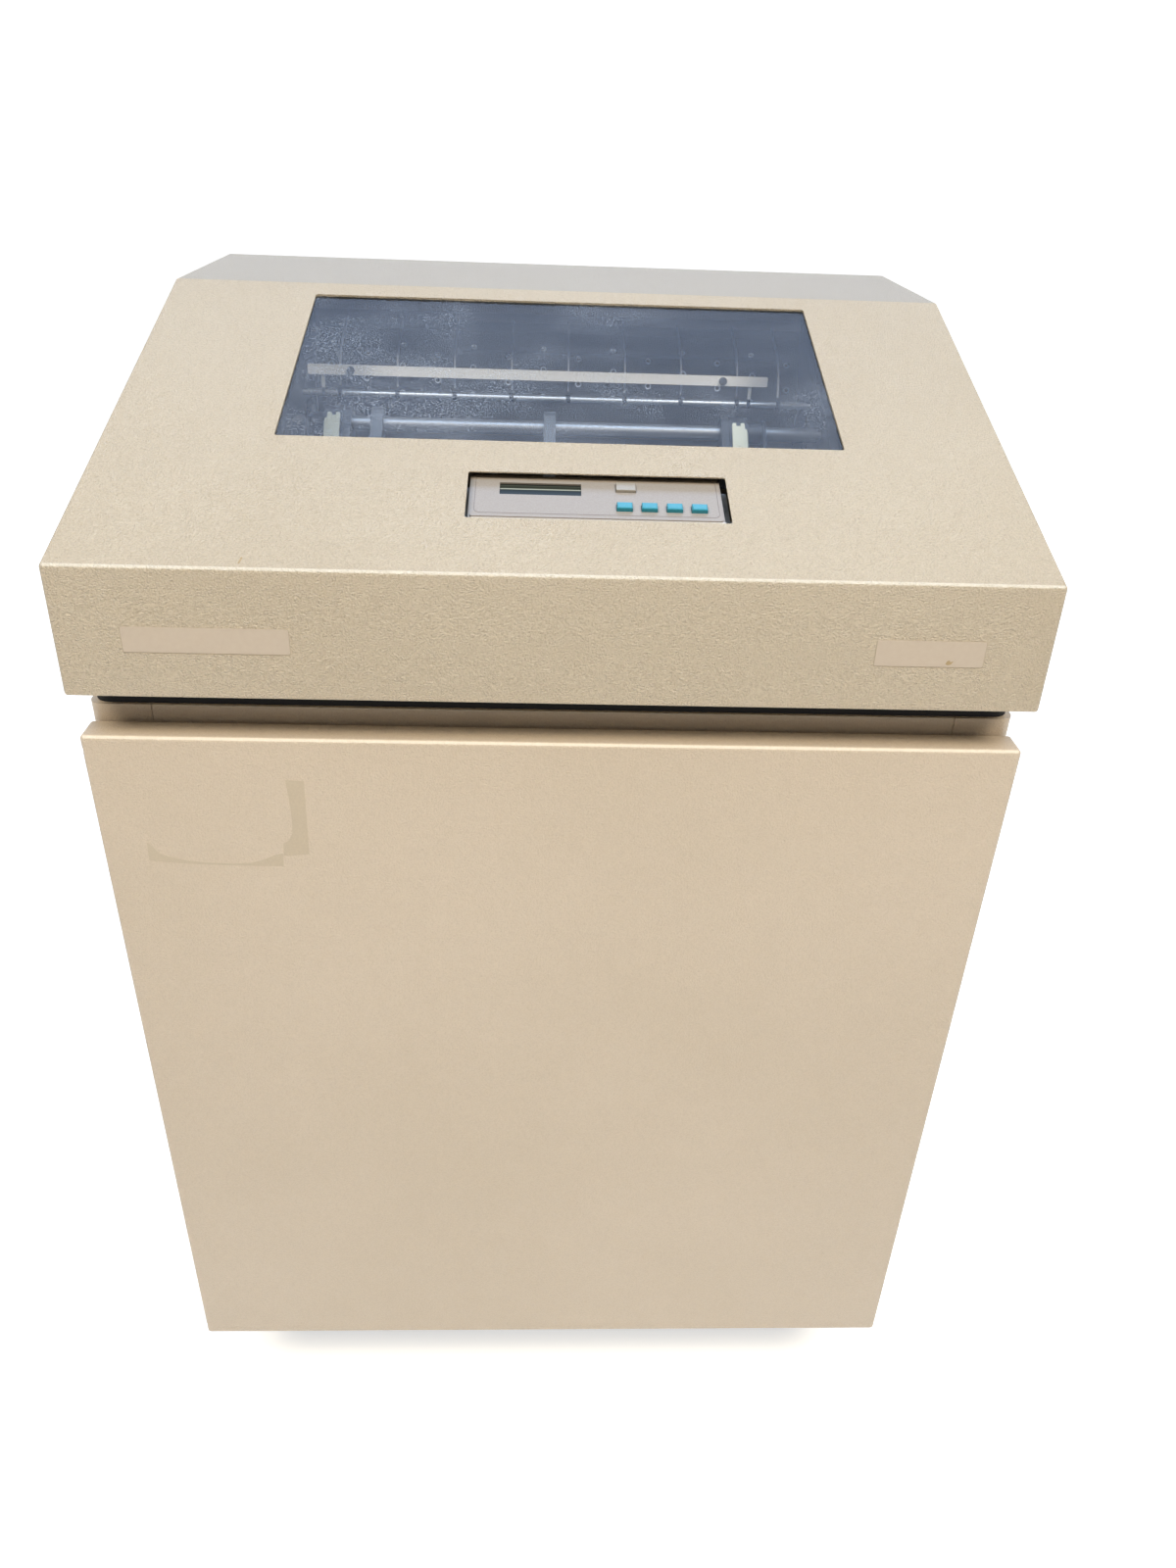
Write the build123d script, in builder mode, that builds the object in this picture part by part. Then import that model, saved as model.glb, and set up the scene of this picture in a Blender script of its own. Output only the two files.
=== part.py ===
from build123d import *
import math
import os

os.makedirs("parts", exist_ok=True)

# Floor-standing line printer in a quiet cabinet, in millimetres.
# +Z is up, -Y is the operator's side, and the origin is on the floor under the middle of the cabinet.

# Overall size and the levels of the outer casework
width = 686.0
depth = 737.0
height = 1067.0
half_width = width / 2
front_y = -depth / 2
rear_y = depth / 2

# Hood: a moulded shell with a nearly upright front, a long slope and a narrow flat top
hood_wall = 4.0
hood_bottom_z = 849.0
hood_draft = 3.0
fold_y = front_y + hood_draft
fold_z = 942.0
slope_top_y = 23.5
hood_rear_y = 219.0
outer_round = 3.5
end_lip = 44.0
slope_run = slope_top_y - fold_y
slope_rise = height - fold_z
slope_angle = math.atan2(slope_rise, slope_run)
slope_plane = Plane(
    origin=(0, fold_y, fold_z),
    x_dir=(1, 0, 0),
    z_dir=(0, -math.sin(slope_angle), math.cos(slope_angle)),
)
slope_axis = Axis((0, 0, 0), (0, -math.sin(slope_angle), math.cos(slope_angle)))

# Openings in the slope, measured across the printer and up the slope from the fold
window_half_width = 216.0
window_low = 160.8
window_high = 387.1
window_lap = 11.0
window_seat_gap = 0.5
window_recess = 1.8
window_thickness = 4.0
panel_hole_left = -68.7
panel_hole_right = 119.8
panel_hole_low = 63.1
panel_hole_high = 119.8
panel_hole_lip = 1.0
panel_hole_relief = 8.0

# Cabinet sheet metal
sheet = 2.0
cabinet_half_width = 343.0
cabinet_half_depth = 333.5
cabinet_corner = 10.0
cabinet_bottom_z = 104.0
cabinet_top_z = 825.0
header_half_width = 297.0
rim_flange = 25.0
door_bottom_z = 122.0
door_top_z = 812.0
door_depth = 23.5
door_front_y = -359.5
door_round = 3.5
floor_z = 120.0

# Door pivots stand inside each door, close to its hinged edge
pivot_x = 336.0
pivot_y = 348.5
pivot_radius = 3.0
running_gap = 0.06
lip_width = 27.0
boss_height = 8.0
arm_thickness = 3.0
header_bottom_z = 705.0

# Deck that carries the printing mechanism
deck_top_z = 800.0
deck_thickness = 3.0
deck_front_y = -312.0
deck_rear_y = 165.0
throat_front_y = -82.0
throat_rear_y = -48.0
throat_half_width = 232.0

# Shafts and rods of the paper path, as (y, z)
support_shaft_at = (-10.0, 953.0)
drive_shaft_at = (-40.0, 925.0)
guide_rod_at = (50.0, 967.0)
platen_at = (-46.0, 868.0)
shaft_radius = 6.35
guide_rod_radius = 3.0
rod_end_radius = 2.0
journal_radius = 4.0
platen_journal = 7.0
side_frame_x = 244.0
side_frame_thickness = 8.0

# Tractors and paper supports, by their places along the shafts
tractor_left_x = -201.0
tractor_right_x = 161.0
support_left_x = -166.0
support_centre_x = -9.0
tractor_width = 24.0

# Curved clear shield behind the guide rod: an arc that runs into a gentle slope to the rear
shield_centre = (100.0, 965.0)
shield_radius = 45.0
shield_thickness = 2.0
shield_end_angle = 110.0
shield_run = 43.0
rib_pitch = 54.4
rib_first_x = -209.0
rib_last_x = 212.0
rib_places = [rib_first_x + rib_pitch * i for i in range(8)] + [rib_last_x]

# Hood hinge axis and gas spring pivots, as (y, z)
hinge_at = (223.0, 1057.0)
spring_x = 303.0
spring_pin_radius = 3.5
spring_foot = (140.0, 830.0)
spring_head = (180.0, 1034.0)

# Casters
wheel_radius = 37.5
wheel_width = 24.0
caster_plate_z = 92.0
caster_x = 300.0
caster_y = 240.0
caster_trail = 25.0
axle_radius = 5.0
stem_radius = 7.0


def save(piece, name):
    piece.part.label = name
    export_step(piece.part, f"parts/{name}.step")


# Welded base: a channel ring, two cross channels, caster plates and the paper shelf on top
base_low_z = 96.0
base_deep = 22.0
base_outside = (650.0, 600.0)
base_inside = (560.0, 510.0)
cross_channel_wide = 40.0
caster_plate_size = (70.0, 80.0)
shelf_slot_size = (180.0, 8.0)
shelf_slot_x = 150.0
shelf_slot_pitch = 24.0
divider_y = 8.0
divider_top_z = 695.0
divider_flange = 24.0
with BuildPart() as base_frame:
    with BuildSketch(Plane.XY.offset(base_low_z)):
        Rectangle(*base_outside)
        Rectangle(*base_inside, mode=Mode.SUBTRACT)
        Rectangle(cross_channel_wide, base_outside[1])
    extrude(amount=base_deep)
    with BuildSketch(Plane.XY.offset(base_low_z)):
        Rectangle(base_outside[0] - 2 * sheet, base_outside[1] - 2 * sheet)
        Rectangle(base_inside[0] + 2 * sheet, base_inside[1] + 2 * sheet, mode=Mode.SUBTRACT)
        Rectangle(cross_channel_wide - 2 * sheet, base_inside[1] + 2 * sheet)
    extrude(amount=base_deep - sheet, mode=Mode.SUBTRACT)
    with BuildSketch(Plane.XY.offset(caster_plate_z)):
        with GridLocations(2 * caster_x, 2 * caster_y, 2, 2):
            RectangleRounded(*caster_plate_size, 8)
    extrude(amount=base_low_z - caster_plate_z)
    with BuildSketch(Plane.XY.offset(caster_plate_z - 1)):
        with GridLocations(2 * caster_x, 2 * caster_y, 2, 2):
            Circle(stem_radius + running_gap)
    extrude(amount=10, mode=Mode.SUBTRACT)
    with BuildSketch(Plane.XY.offset(floor_z - sheet)):
        RectangleRounded(
            2 * (cabinet_half_width - sheet),
            2 * (cabinet_half_depth - sheet),
            cabinet_corner - sheet,
        )
    extrude(amount=sheet)
    with BuildSketch(Plane.XY.offset(floor_z - 10)):
        with Locations((-shelf_slot_x, 0), (shelf_slot_x, 0)):
            with GridLocations(0, shelf_slot_pitch, 1, 7):
                SlotOverall(*shelf_slot_size)
    extrude(amount=20, mode=Mode.SUBTRACT)
    with BuildSketch(Plane.YZ):
        with BuildLine():
            Polyline(
                (divider_y, floor_z - 1),
                (divider_y + sheet, floor_z - 1),
                (divider_y + sheet, divider_top_z - sheet),
                (divider_y + divider_flange, divider_top_z - sheet),
                (divider_y + divider_flange, divider_top_z),
                (divider_y, divider_top_z),
                close=True,
            )
        make_face()
    extrude(amount=cabinet_half_width - sheet - 3, both=True)
save(base_frame, "base_frame")

# Side panels wrap round the four vertical corners, turn in along the top and carry a door's pivots
pivot_play = 0.4
upper_arm_z = door_top_z - sheet - boss_height - pivot_play - arm_thickness
lower_arm_z = door_bottom_z + sheet + boss_height + pivot_play
seam_gap = 0.5
panel_return = 120.0
arm_size = (24.0, 19.0)
arm_end_radius = 4.5
for side, name in ((-1, "left_side_panel"), (1, "right_side_panel")):
    keep_x = side * (header_half_width + seam_gap + panel_return / 2)
    with BuildPart() as side_panel:
        with BuildSketch(Plane.XY.offset(cabinet_bottom_z)):
            RectangleRounded(2 * cabinet_half_width, 2 * cabinet_half_depth, cabinet_corner)
            RectangleRounded(
                2 * (cabinet_half_width - sheet),
                2 * (cabinet_half_depth - sheet),
                cabinet_corner - sheet,
                mode=Mode.SUBTRACT,
            )
            with Locations((keep_x, 0)):
                Rectangle(panel_return, depth, mode=Mode.INTERSECT)
        extrude(amount=cabinet_top_z - cabinet_bottom_z)
        with BuildSketch(Plane.XY.offset(cabinet_top_z - sheet)):
            RectangleRounded(2 * cabinet_half_width, 2 * cabinet_half_depth, cabinet_corner)
            Rectangle(
                2 * (cabinet_half_width - rim_flange),
                2 * (cabinet_half_depth - rim_flange),
                mode=Mode.SUBTRACT,
            )
            with Locations((keep_x, 0)):
                Rectangle(panel_return, depth, mode=Mode.INTERSECT)
        extrude(amount=sheet)
        arm_x = side * (pivot_x - 7)
        for arm_z, pin_z in ((upper_arm_z, upper_arm_z), (lower_arm_z, lower_arm_z - boss_height)):
            with BuildSketch(Plane.XY.offset(arm_z)):
                with Locations((arm_x, side * (pivot_y - 8))):
                    Rectangle(*arm_size)
                with Locations((side * pivot_x, side * pivot_y)):
                    Circle(arm_end_radius)
            extrude(amount=arm_thickness)
            with BuildSketch(Plane.XY.offset(pin_z)):
                with Locations((side * pivot_x, side * pivot_y)):
                    Circle(pivot_radius)
            extrude(amount=arm_thickness + boss_height)
    save(side_panel, name)

# Headers between the side panels: the front one shows in the finger gap above the front door
header_flange = 14.0
bend_radius = 1.5
with BuildPart() as headers:
    for side in (-1, 1):
        with BuildSketch(Plane.YZ):
            with BuildLine():
                Polyline(
                    (side * (cabinet_half_depth - rim_flange), cabinet_top_z),
                    (side * cabinet_half_depth, cabinet_top_z),
                    (side * cabinet_half_depth, header_bottom_z),
                    (side * (cabinet_half_depth - header_flange), header_bottom_z),
                    (side * (cabinet_half_depth - header_flange), header_bottom_z + sheet),
                    (side * (cabinet_half_depth - sheet), header_bottom_z + sheet),
                    (side * (cabinet_half_depth - sheet), cabinet_top_z - sheet),
                    (side * (cabinet_half_depth - rim_flange), cabinet_top_z - sheet),
                    close=True,
                )
            make_face()
        extrude(amount=header_half_width, both=True)
    bends = headers.edges().filter_by(Axis.X).filter_by(
        lambda e: abs(e.center().Y) > cabinet_half_depth - 0.1
    )
    fillet(bends, radius=bend_radius)
save(headers, "header_panels")

# Deck: an inverted tray with the paper throat, the two ribbon posts and the gas spring's bracket
spool_x = 236.0
spool_y = -200.0
spool_radius = 62.0
spool_low_z = 850.0
post_radius = 8.0
post_height = 40.0
post_base_radius = 26.0
tray_depth = 25.0
tray_wall = 3.0
bracket_thickness = 3.0
with BuildPart() as deck:
    with BuildSketch(Plane.XY.offset(deck_top_z - tray_depth)):
        with Locations((0, (deck_front_y + deck_rear_y) / 2)):
            Rectangle(2 * (cabinet_half_width - sheet), deck_rear_y - deck_front_y)
    extrude(amount=tray_depth)
    with BuildSketch(Plane.XY.offset(deck_top_z - tray_depth)):
        with Locations((0, (deck_front_y + deck_rear_y) / 2)):
            Rectangle(
                2 * (cabinet_half_width - sheet - tray_wall),
                deck_rear_y - deck_front_y - 2 * tray_wall,
            )
    extrude(amount=tray_depth - deck_thickness, mode=Mode.SUBTRACT)
    with BuildSketch(Plane.XY.offset(deck_top_z - deck_thickness - 1)):
        with Locations((0, (throat_front_y + throat_rear_y) / 2)):
            Rectangle(2 * throat_half_width, throat_rear_y - throat_front_y)
    extrude(amount=deck_thickness + 2, mode=Mode.SUBTRACT)
    for side in (-1, 1):
        with BuildSketch(Plane.XY.offset(deck_top_z)):
            with Locations((side * spool_x, spool_y)):
                Circle(post_base_radius)
        extrude(amount=spool_low_z - 2 - deck_top_z)
        with BuildSketch(Plane.XY.offset(spool_low_z - 2)):
            with Locations((side * spool_x, spool_y)):
                Circle(post_radius)
        extrude(amount=post_height)
    with BuildSketch(Plane.YZ.offset(spring_x - 12)):
        with BuildLine():
            Polyline(
                (spring_foot[0] - 26, deck_top_z), (spring_foot[0] + 24, deck_top_z),
                (spring_foot[0] + 12, spring_foot[1] + 8), (spring_foot[0] - 12, spring_foot[1] + 8),
                close=True,
            )
        make_face()
    extrude(amount=bracket_thickness)
    with BuildSketch(Plane.YZ.offset(spring_x - 12)):
        with Locations(spring_foot):
            Circle(spring_pin_radius)
    extrude(amount=20)
save(deck, "deck_plate")

# Black foam seal between the casework and the cabinet rim
seal_width = 680.0
seal_depth = 661.0
seal_wide = 13.0
seal_clearance = 0.3
with BuildPart() as hood_seal:
    with BuildSketch(Plane.XY.offset(cabinet_top_z)):
        RectangleRounded(seal_width, seal_depth, 12)
        RectangleRounded(seal_width - 2 * seal_wide, seal_depth - 2 * seal_wide, 4, mode=Mode.SUBTRACT)
    extrude(amount=hood_bottom_z - cabinet_top_z)
    with BuildSketch(Plane.XY.offset(hood_bottom_z - seal_clearance)):
        with Locations((0, (front_y + hood_rear_y) / 2)):
            Rectangle(width, hood_rear_y - front_y + 6)
    extrude(amount=1, mode=Mode.SUBTRACT)
save(hood_seal, "hood_seal")

def hood_outline():
    """The hood's side view: upright front, slope, flat top and open rear."""
    Polyline(
        (front_y, hood_bottom_z),
        (fold_y, fold_z),
        (slope_top_y, height),
        (hood_rear_y, height),
        (hood_rear_y, hood_bottom_z),
        close=True,
    )


# Hood shell with its window and control panel openings
mouth_top_z = 1018.0
mouth_inset = 20.0
rebate_corner = 6.0
opening_corner = 2.0
stud_pad_size = (44.0, 36.0)
stud_radius = 5.0
stud_face_x = half_width - hood_wall
with BuildPart() as hood:
    with BuildSketch(Plane.YZ):
        with BuildLine():
            hood_outline()
        make_face()
    extrude(amount=half_width, both=True)
    top_and_front = hood.edges().filter_by(Axis.X).filter_by(lambda e: e.center().Z > fold_z - 1)
    flanks = hood.edges().filter_by(
        lambda e: abs(e.center().X) > half_width - 1
        and e.center().Y < hood_rear_y - 1
    )
    fillet(top_and_front + flanks, radius=outer_round)
    with BuildSketch(Plane.YZ):
        with BuildLine():
            hood_outline()
        make_face()
        offset(amount=-hood_wall, mode=Mode.REPLACE)
    extrude(amount=half_width - hood_wall, both=True, mode=Mode.SUBTRACT)
    with BuildSketch(Plane.XY.offset(hood_bottom_z)):
        with Locations((0, (front_y + end_lip + hood_rear_y) / 2)):
            Rectangle(2 * (half_width - lip_width), hood_rear_y - front_y - end_lip)
    extrude(amount=hood_wall + 1, mode=Mode.SUBTRACT)
    with BuildSketch(Plane.XZ.offset(-hood_rear_y)):
        with Locations((0, (hood_bottom_z + mouth_top_z) / 2)):
            Rectangle(2 * (half_width - mouth_inset), mouth_top_z - hood_bottom_z)
    extrude(amount=hood_wall + 1, mode=Mode.SUBTRACT)
    with BuildSketch(slope_plane):
        with Locations((0, (window_low + window_high) / 2)):
            RectangleRounded(2 * window_half_width, window_high - window_low, opening_corner)
        with Locations(
            ((panel_hole_left + panel_hole_right) / 2, (panel_hole_low + panel_hole_high) / 2)
        ):
            RectangleRounded(
                panel_hole_right - panel_hole_left,
                panel_hole_high - panel_hole_low,
                opening_corner,
            )
    extrude(amount=-15, mode=Mode.SUBTRACT)
    with BuildSketch(slope_plane.offset(-window_recess)):
        with Locations((0, (window_low + window_high) / 2)):
            RectangleRounded(
                2 * (window_half_width + window_lap + window_seat_gap),
                window_high - window_low + 2 * (window_lap + window_seat_gap),
                rebate_corner,
            )
    extrude(amount=-hood_wall, mode=Mode.SUBTRACT)
    with BuildSketch(slope_plane.offset(-panel_hole_lip)):
        with Locations(
            ((panel_hole_left + panel_hole_right) / 2, (panel_hole_low + panel_hole_high) / 2)
        ):
            RectangleRounded(
                panel_hole_right - panel_hole_left + 2 * panel_hole_relief,
                panel_hole_high - panel_hole_low + 2 * panel_hole_relief,
                rebate_corner,
            )
    extrude(amount=-hood_wall, mode=Mode.SUBTRACT)
    with BuildSketch(Plane.YZ.offset(stud_face_x + 1)):
        with Locations(spring_head):
            RectangleRounded(*stud_pad_size, 5)
    extrude(amount=-4)
    with BuildSketch(Plane.YZ.offset(stud_face_x)):
        with Locations(spring_head):
            Circle(stud_radius)
    extrude(amount=-(stud_face_x - spring_x - 6.5))
save(hood, "hood_shell")

# Tinted window, seated in a rebate of the skin with a lap all round
with BuildPart() as hood_window:
    with BuildSketch(slope_plane.offset(-window_recess)):
        with Locations((0, (window_low + window_high) / 2)):
            RectangleRounded(
                2 * (window_half_width + window_lap),
                window_high - window_low + 2 * window_lap,
                rebate_corner,
            )
    extrude(amount=-window_thickness)
save(hood_window, "hood_window")

# Acoustic foam on the hood's flanks
liner_thickness = 8.0
liner_margin = 14.0
liner_top_z = 1048.0
liner_top_ys = (40.0, 120.0)
with BuildPart() as hood_liner:
    for side in (-1, 1):
        with BuildSketch(Plane.YZ.offset(side * (half_width - hood_wall))):
            with BuildLine():
                Polyline(
                    (front_y + liner_margin, hood_bottom_z + liner_margin),
                    (fold_y + 12, fold_z - 12),
                    (liner_top_ys[0], liner_top_z),
                    (liner_top_ys[1], liner_top_z),
                    (liner_top_ys[1], hood_bottom_z + liner_margin),
                    close=True,
                )
            make_face()
        extrude(amount=-side * liner_thickness)
save(hood_liner, "hood_liner")

# Rear cover: fixed housing behind the hood, with exhaust slots behind a baffle and a port opening
rear_cover_front_y = 227.0
rear_cover_top_z = 1054.0
rear_wall = 4.0
port_x = -215.0
port_z = 900.0
port_size = (150.0, 56.0)
cover_bend_z = 978.0
cover_flat = 16.0
exhaust_x = 80.0
exhaust_z = 905.0
slot_size = (34.0, 5.0)
baffle_y = 346.0
baffle_top_z = 954.0
baffle_bottom_z = 858.0
baffle_wide = 386.0


def rear_outline():
    """The rear cover's side view, open at the front and the bottom."""
    Polyline(
        (rear_cover_front_y, hood_bottom_z),
        (rear_cover_front_y, rear_cover_top_z),
        (rear_cover_front_y + cover_flat, rear_cover_top_z),
        (rear_y - hood_draft, cover_bend_z),
        (rear_y, hood_bottom_z),
        close=True,
    )


with BuildPart() as rear_cover:
    with BuildSketch(Plane.YZ):
        with BuildLine():
            rear_outline()
        make_face()
    extrude(amount=half_width, both=True)
    rear_rounds = rear_cover.edges().filter_by(
        lambda e: e.center().Z > hood_bottom_z + 1 and e.center().Y > rear_cover_front_y + 1
    )
    fillet(rear_rounds, radius=outer_round)
    with BuildSketch(Plane.YZ):
        with BuildLine():
            rear_outline()
        make_face()
        offset(amount=-rear_wall, mode=Mode.REPLACE)
    extrude(amount=half_width - rear_wall, both=True, mode=Mode.SUBTRACT)
    with BuildSketch(Plane.XY.offset(hood_bottom_z)):
        with Locations((0, (rear_cover_front_y + rear_y - end_lip) / 2)):
            Rectangle(2 * (half_width - lip_width), rear_y - end_lip - rear_cover_front_y)
    extrude(amount=rear_wall + 1, mode=Mode.SUBTRACT)
    with BuildSketch(Plane.XZ.offset(-rear_cover_front_y)):
        with Locations((0, (hood_bottom_z + mouth_top_z) / 2)):
            Rectangle(2 * (half_width - mouth_inset), mouth_top_z - hood_bottom_z)
    extrude(amount=-rear_wall - 1, mode=Mode.SUBTRACT)
    with BuildSketch(Plane.XZ.offset(-rear_y + 12)):
        with Locations((exhaust_x, exhaust_z)):
            with GridLocations(30, 44, 13, 2):
                SlotOverall(*slot_size, rotation=90)
        with Locations((port_x, port_z)):
            Rectangle(port_size[0] - 10, port_size[1] - 10)
    extrude(amount=-14, mode=Mode.SUBTRACT)
    with BuildSketch(Plane.YZ.offset(exhaust_x - baffle_wide / 2)):
        with BuildLine():
            Polyline(
                (rear_y - hood_draft - rear_wall + 1, baffle_top_z), (baffle_y, baffle_top_z),
                (baffle_y, baffle_bottom_z), (baffle_y + sheet, baffle_bottom_z),
                (baffle_y + sheet, baffle_top_z - sheet),
                (rear_y - hood_draft - rear_wall + 1, baffle_top_z - sheet),
                close=True,
            )
        make_face()
    extrude(amount=baffle_wide)
save(rear_cover, "rear_cover")

# Port plate: power inlet, switch recess and interface connector, screwed inside the rear cover
port_plane = Plane(origin=(port_x, rear_y - 8.0, port_z), x_dir=(-1, 0, 0), z_dir=(0, 1, 0))
inlet_at = (-40.0, 0.0)
rocker_at = (-4.0, 0.0)
rocker_size = (14.0, 22.0)
rocker_pin_radius = 1.5
rocker_pin_stands = 1.6
connector_at = (40.0, 0.0)
port_thickness = 2.0
inlet_size = (25.0, 17.0)
connector_size = (40.0, 10.0)
socket_wall = 3.0
with BuildPart() as port_panel:
    with BuildSketch(port_plane):
        RectangleRounded(*port_size, 2)
    extrude(amount=-port_thickness)
    with BuildSketch(port_plane.offset(-port_thickness)):
        with Locations(inlet_at):
            RectangleRounded(inlet_size[0] + 7, inlet_size[1] + 10, 3)
        with Locations(rocker_at):
            Rectangle(rocker_size[0] + 7, rocker_size[1] + 7)
        with Locations(connector_at):
            Rectangle(connector_size[0] + 2 * socket_wall, connector_size[1] + 2 * socket_wall)
    extrude(amount=-20)
    with BuildSketch(port_plane.offset(1)):
        with Locations(inlet_at):
            RectangleRounded(*inlet_size, 4)
        with Locations(connector_at):
            RectangleRounded(*connector_size, 3)
    extrude(amount=-17, mode=Mode.SUBTRACT)
    with BuildSketch(port_plane.offset(1)):
        with Locations(rocker_at):
            Rectangle(rocker_size[0] + 0.8, rocker_size[1] + 4)
    extrude(amount=-19, mode=Mode.SUBTRACT)
    with BuildSketch(Plane.YZ.offset(port_x - rocker_at[0])):
        with Locations((port_plane.origin.Y - 5.0, port_z)):
            Circle(rocker_pin_radius + running_gap)
    extrude(amount=rocker_size[0] / 2 + 2, both=True, mode=Mode.SUBTRACT)
    with BuildSketch(port_plane.offset(-16)):
        with Locations((inlet_at[0] - 7, 2), (inlet_at[0], -2), (inlet_at[0] + 7, 2)):
            Rectangle(2, 5)
        with Locations(connector_at):
            Rectangle(34, 4)
    extrude(amount=12)
save(port_panel, "rear_port_panel")

# Power rocker: two faces at a slight angle on a round back, pivoting across the switch
rocker_axis = (port_plane.origin.Y - 5.0, port_z)
with BuildPart() as rocker:
    with BuildSketch(Plane.YZ):
        with BuildLine():
            Polyline(
                (rocker_axis[0] - 4, rocker_axis[1] - 4),
                (rocker_axis[0] + 1, rocker_axis[1] - rocker_size[1] / 2),
                (rocker_axis[0] + 5.5, rocker_axis[1] - rocker_size[1] / 2 + 0.6),
                (rocker_axis[0] + 5.5, rocker_axis[1]),
                (rocker_axis[0] + 8.5, rocker_axis[1] + rocker_size[1] / 2 - 0.9),
                (rocker_axis[0] + 3, rocker_axis[1] + rocker_size[1] / 2),
                (rocker_axis[0] - 4, rocker_axis[1] + 4),
                close=True,
            )
        make_face()
    extrude(amount=rocker_size[0] / 2, both=True)
    with BuildSketch(Plane.YZ):
        with Locations(rocker_axis):
            Circle(rocker_pin_radius)
    extrude(amount=rocker_size[0] / 2 + rocker_pin_stands, both=True)
rocker_place = Location((port_x - rocker_at[0], 0, 0))
rocker.part = rocker.part.moved(rocker_place)
save(rocker, "power_rocker")

# Two butt hinges join the hood to the rear cover: leaves, knuckles and a pin each
hinge_length = 150.0
hinge_places = (-170.0, 170.0)
knuckle = hinge_length / 5
knuckle_radius = 3.4
knuckle_play = 0.4
pin_radius = 1.6
leaf_thickness = 1.5
leaf_height = 30.0
leaf_z = 1037.0

with BuildPart() as hinge_fixed:
    for middle in hinge_places:
        start = middle - hinge_length / 2
        with BuildSketch(Plane.XZ.offset(-rear_cover_front_y)):
            with Locations((middle, leaf_z)):
                Rectangle(hinge_length, leaf_height)
        extrude(amount=leaf_thickness)
        for i in (0, 2, 4):
            with BuildSketch(Plane.YZ.offset(start + i * knuckle + knuckle_play / 2)):
                with Locations(((hinge_at[0] + rear_cover_front_y) / 2 + 0.6, hinge_at[1] - 4.5)):
                    Rectangle(leaf_thickness, 6)
                with Locations(hinge_at):
                    Circle(knuckle_radius)
            extrude(amount=knuckle - knuckle_play)
        with BuildSketch(Plane.YZ.offset(start)):
            with Locations(hinge_at):
                Circle(pin_radius)
        extrude(amount=hinge_length)
save(hinge_fixed, "hinge_rear_leaves")

with BuildPart() as hinge_moving:
    for middle in hinge_places:
        start = middle - hinge_length / 2
        with BuildSketch(Plane.XZ.offset(-hood_rear_y)):
            with Locations((middle, leaf_z)):
                Rectangle(hinge_length, leaf_height)
        extrude(amount=-leaf_thickness)
        for i in (1, 3):
            with BuildSketch(Plane.YZ.offset(start + i * knuckle + knuckle_play / 2)):
                with Locations((hood_rear_y + leaf_thickness / 2, hinge_at[1] - 4)):
                    Rectangle(leaf_thickness, 8)
                with Locations(hinge_at):
                    Circle(knuckle_radius)
            extrude(amount=knuckle - knuckle_play)
            with BuildSketch(Plane.YZ.offset(start + i * knuckle)):
                with Locations(hinge_at):
                    Circle(pin_radius + running_gap)
            extrude(amount=knuckle, mode=Mode.SUBTRACT)
save(hinge_moving, "hinge_hood_leaves")

# Gas spring on the right: cylinder on the deck, rod to a stud on the hood
spring_dy = spring_head[0] - spring_foot[0]
spring_dz = spring_head[1] - spring_foot[1]
spring_length = math.hypot(spring_dy, spring_dz)
spring_plane = Plane(
    origin=(spring_x, spring_foot[0], spring_foot[1]),
    x_dir=(1, 0, 0),
    z_dir=(0, spring_dy, spring_dz),
)
cylinder_radius = 9.0
cylinder_start = 14.0
cylinder_end = 150.0
rod_radius = 4.0
rod_start = 54.0
eye_radius = 8.0
eye_width = 10.0
with BuildPart() as spring_cylinder:
    with BuildSketch(spring_plane.offset(cylinder_start)):
        Circle(cylinder_radius)
    extrude(amount=cylinder_end - cylinder_start)
    with BuildSketch(spring_plane.offset(cylinder_start + 6)):
        Circle(rod_radius + running_gap)
    extrude(amount=cylinder_end, mode=Mode.SUBTRACT)
    with BuildSketch(spring_plane.offset(4)):
        Circle(4)
    extrude(amount=cylinder_start)
    with BuildSketch(Plane.YZ.offset(spring_x - eye_width / 2)):
        with Locations(spring_foot):
            Circle(eye_radius)
    extrude(amount=eye_width)
    with BuildSketch(Plane.YZ.offset(spring_x - eye_width / 2 - 1)):
        with Locations(spring_foot):
            Circle(spring_pin_radius + running_gap)
    extrude(amount=eye_width + 2, mode=Mode.SUBTRACT)
save(spring_cylinder, "gas_spring_cylinder")

with BuildPart() as spring_rod:
    with BuildSketch(spring_plane.offset(rod_start)):
        Circle(rod_radius)
    extrude(amount=spring_length - rod_start)
    with BuildSketch(Plane.YZ.offset(spring_x - eye_width / 2 - 1)):
        with Locations(spring_head):
            Circle(eye_radius)
    extrude(amount=eye_width + 2)
save(spring_rod, "gas_spring_rod")

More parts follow.
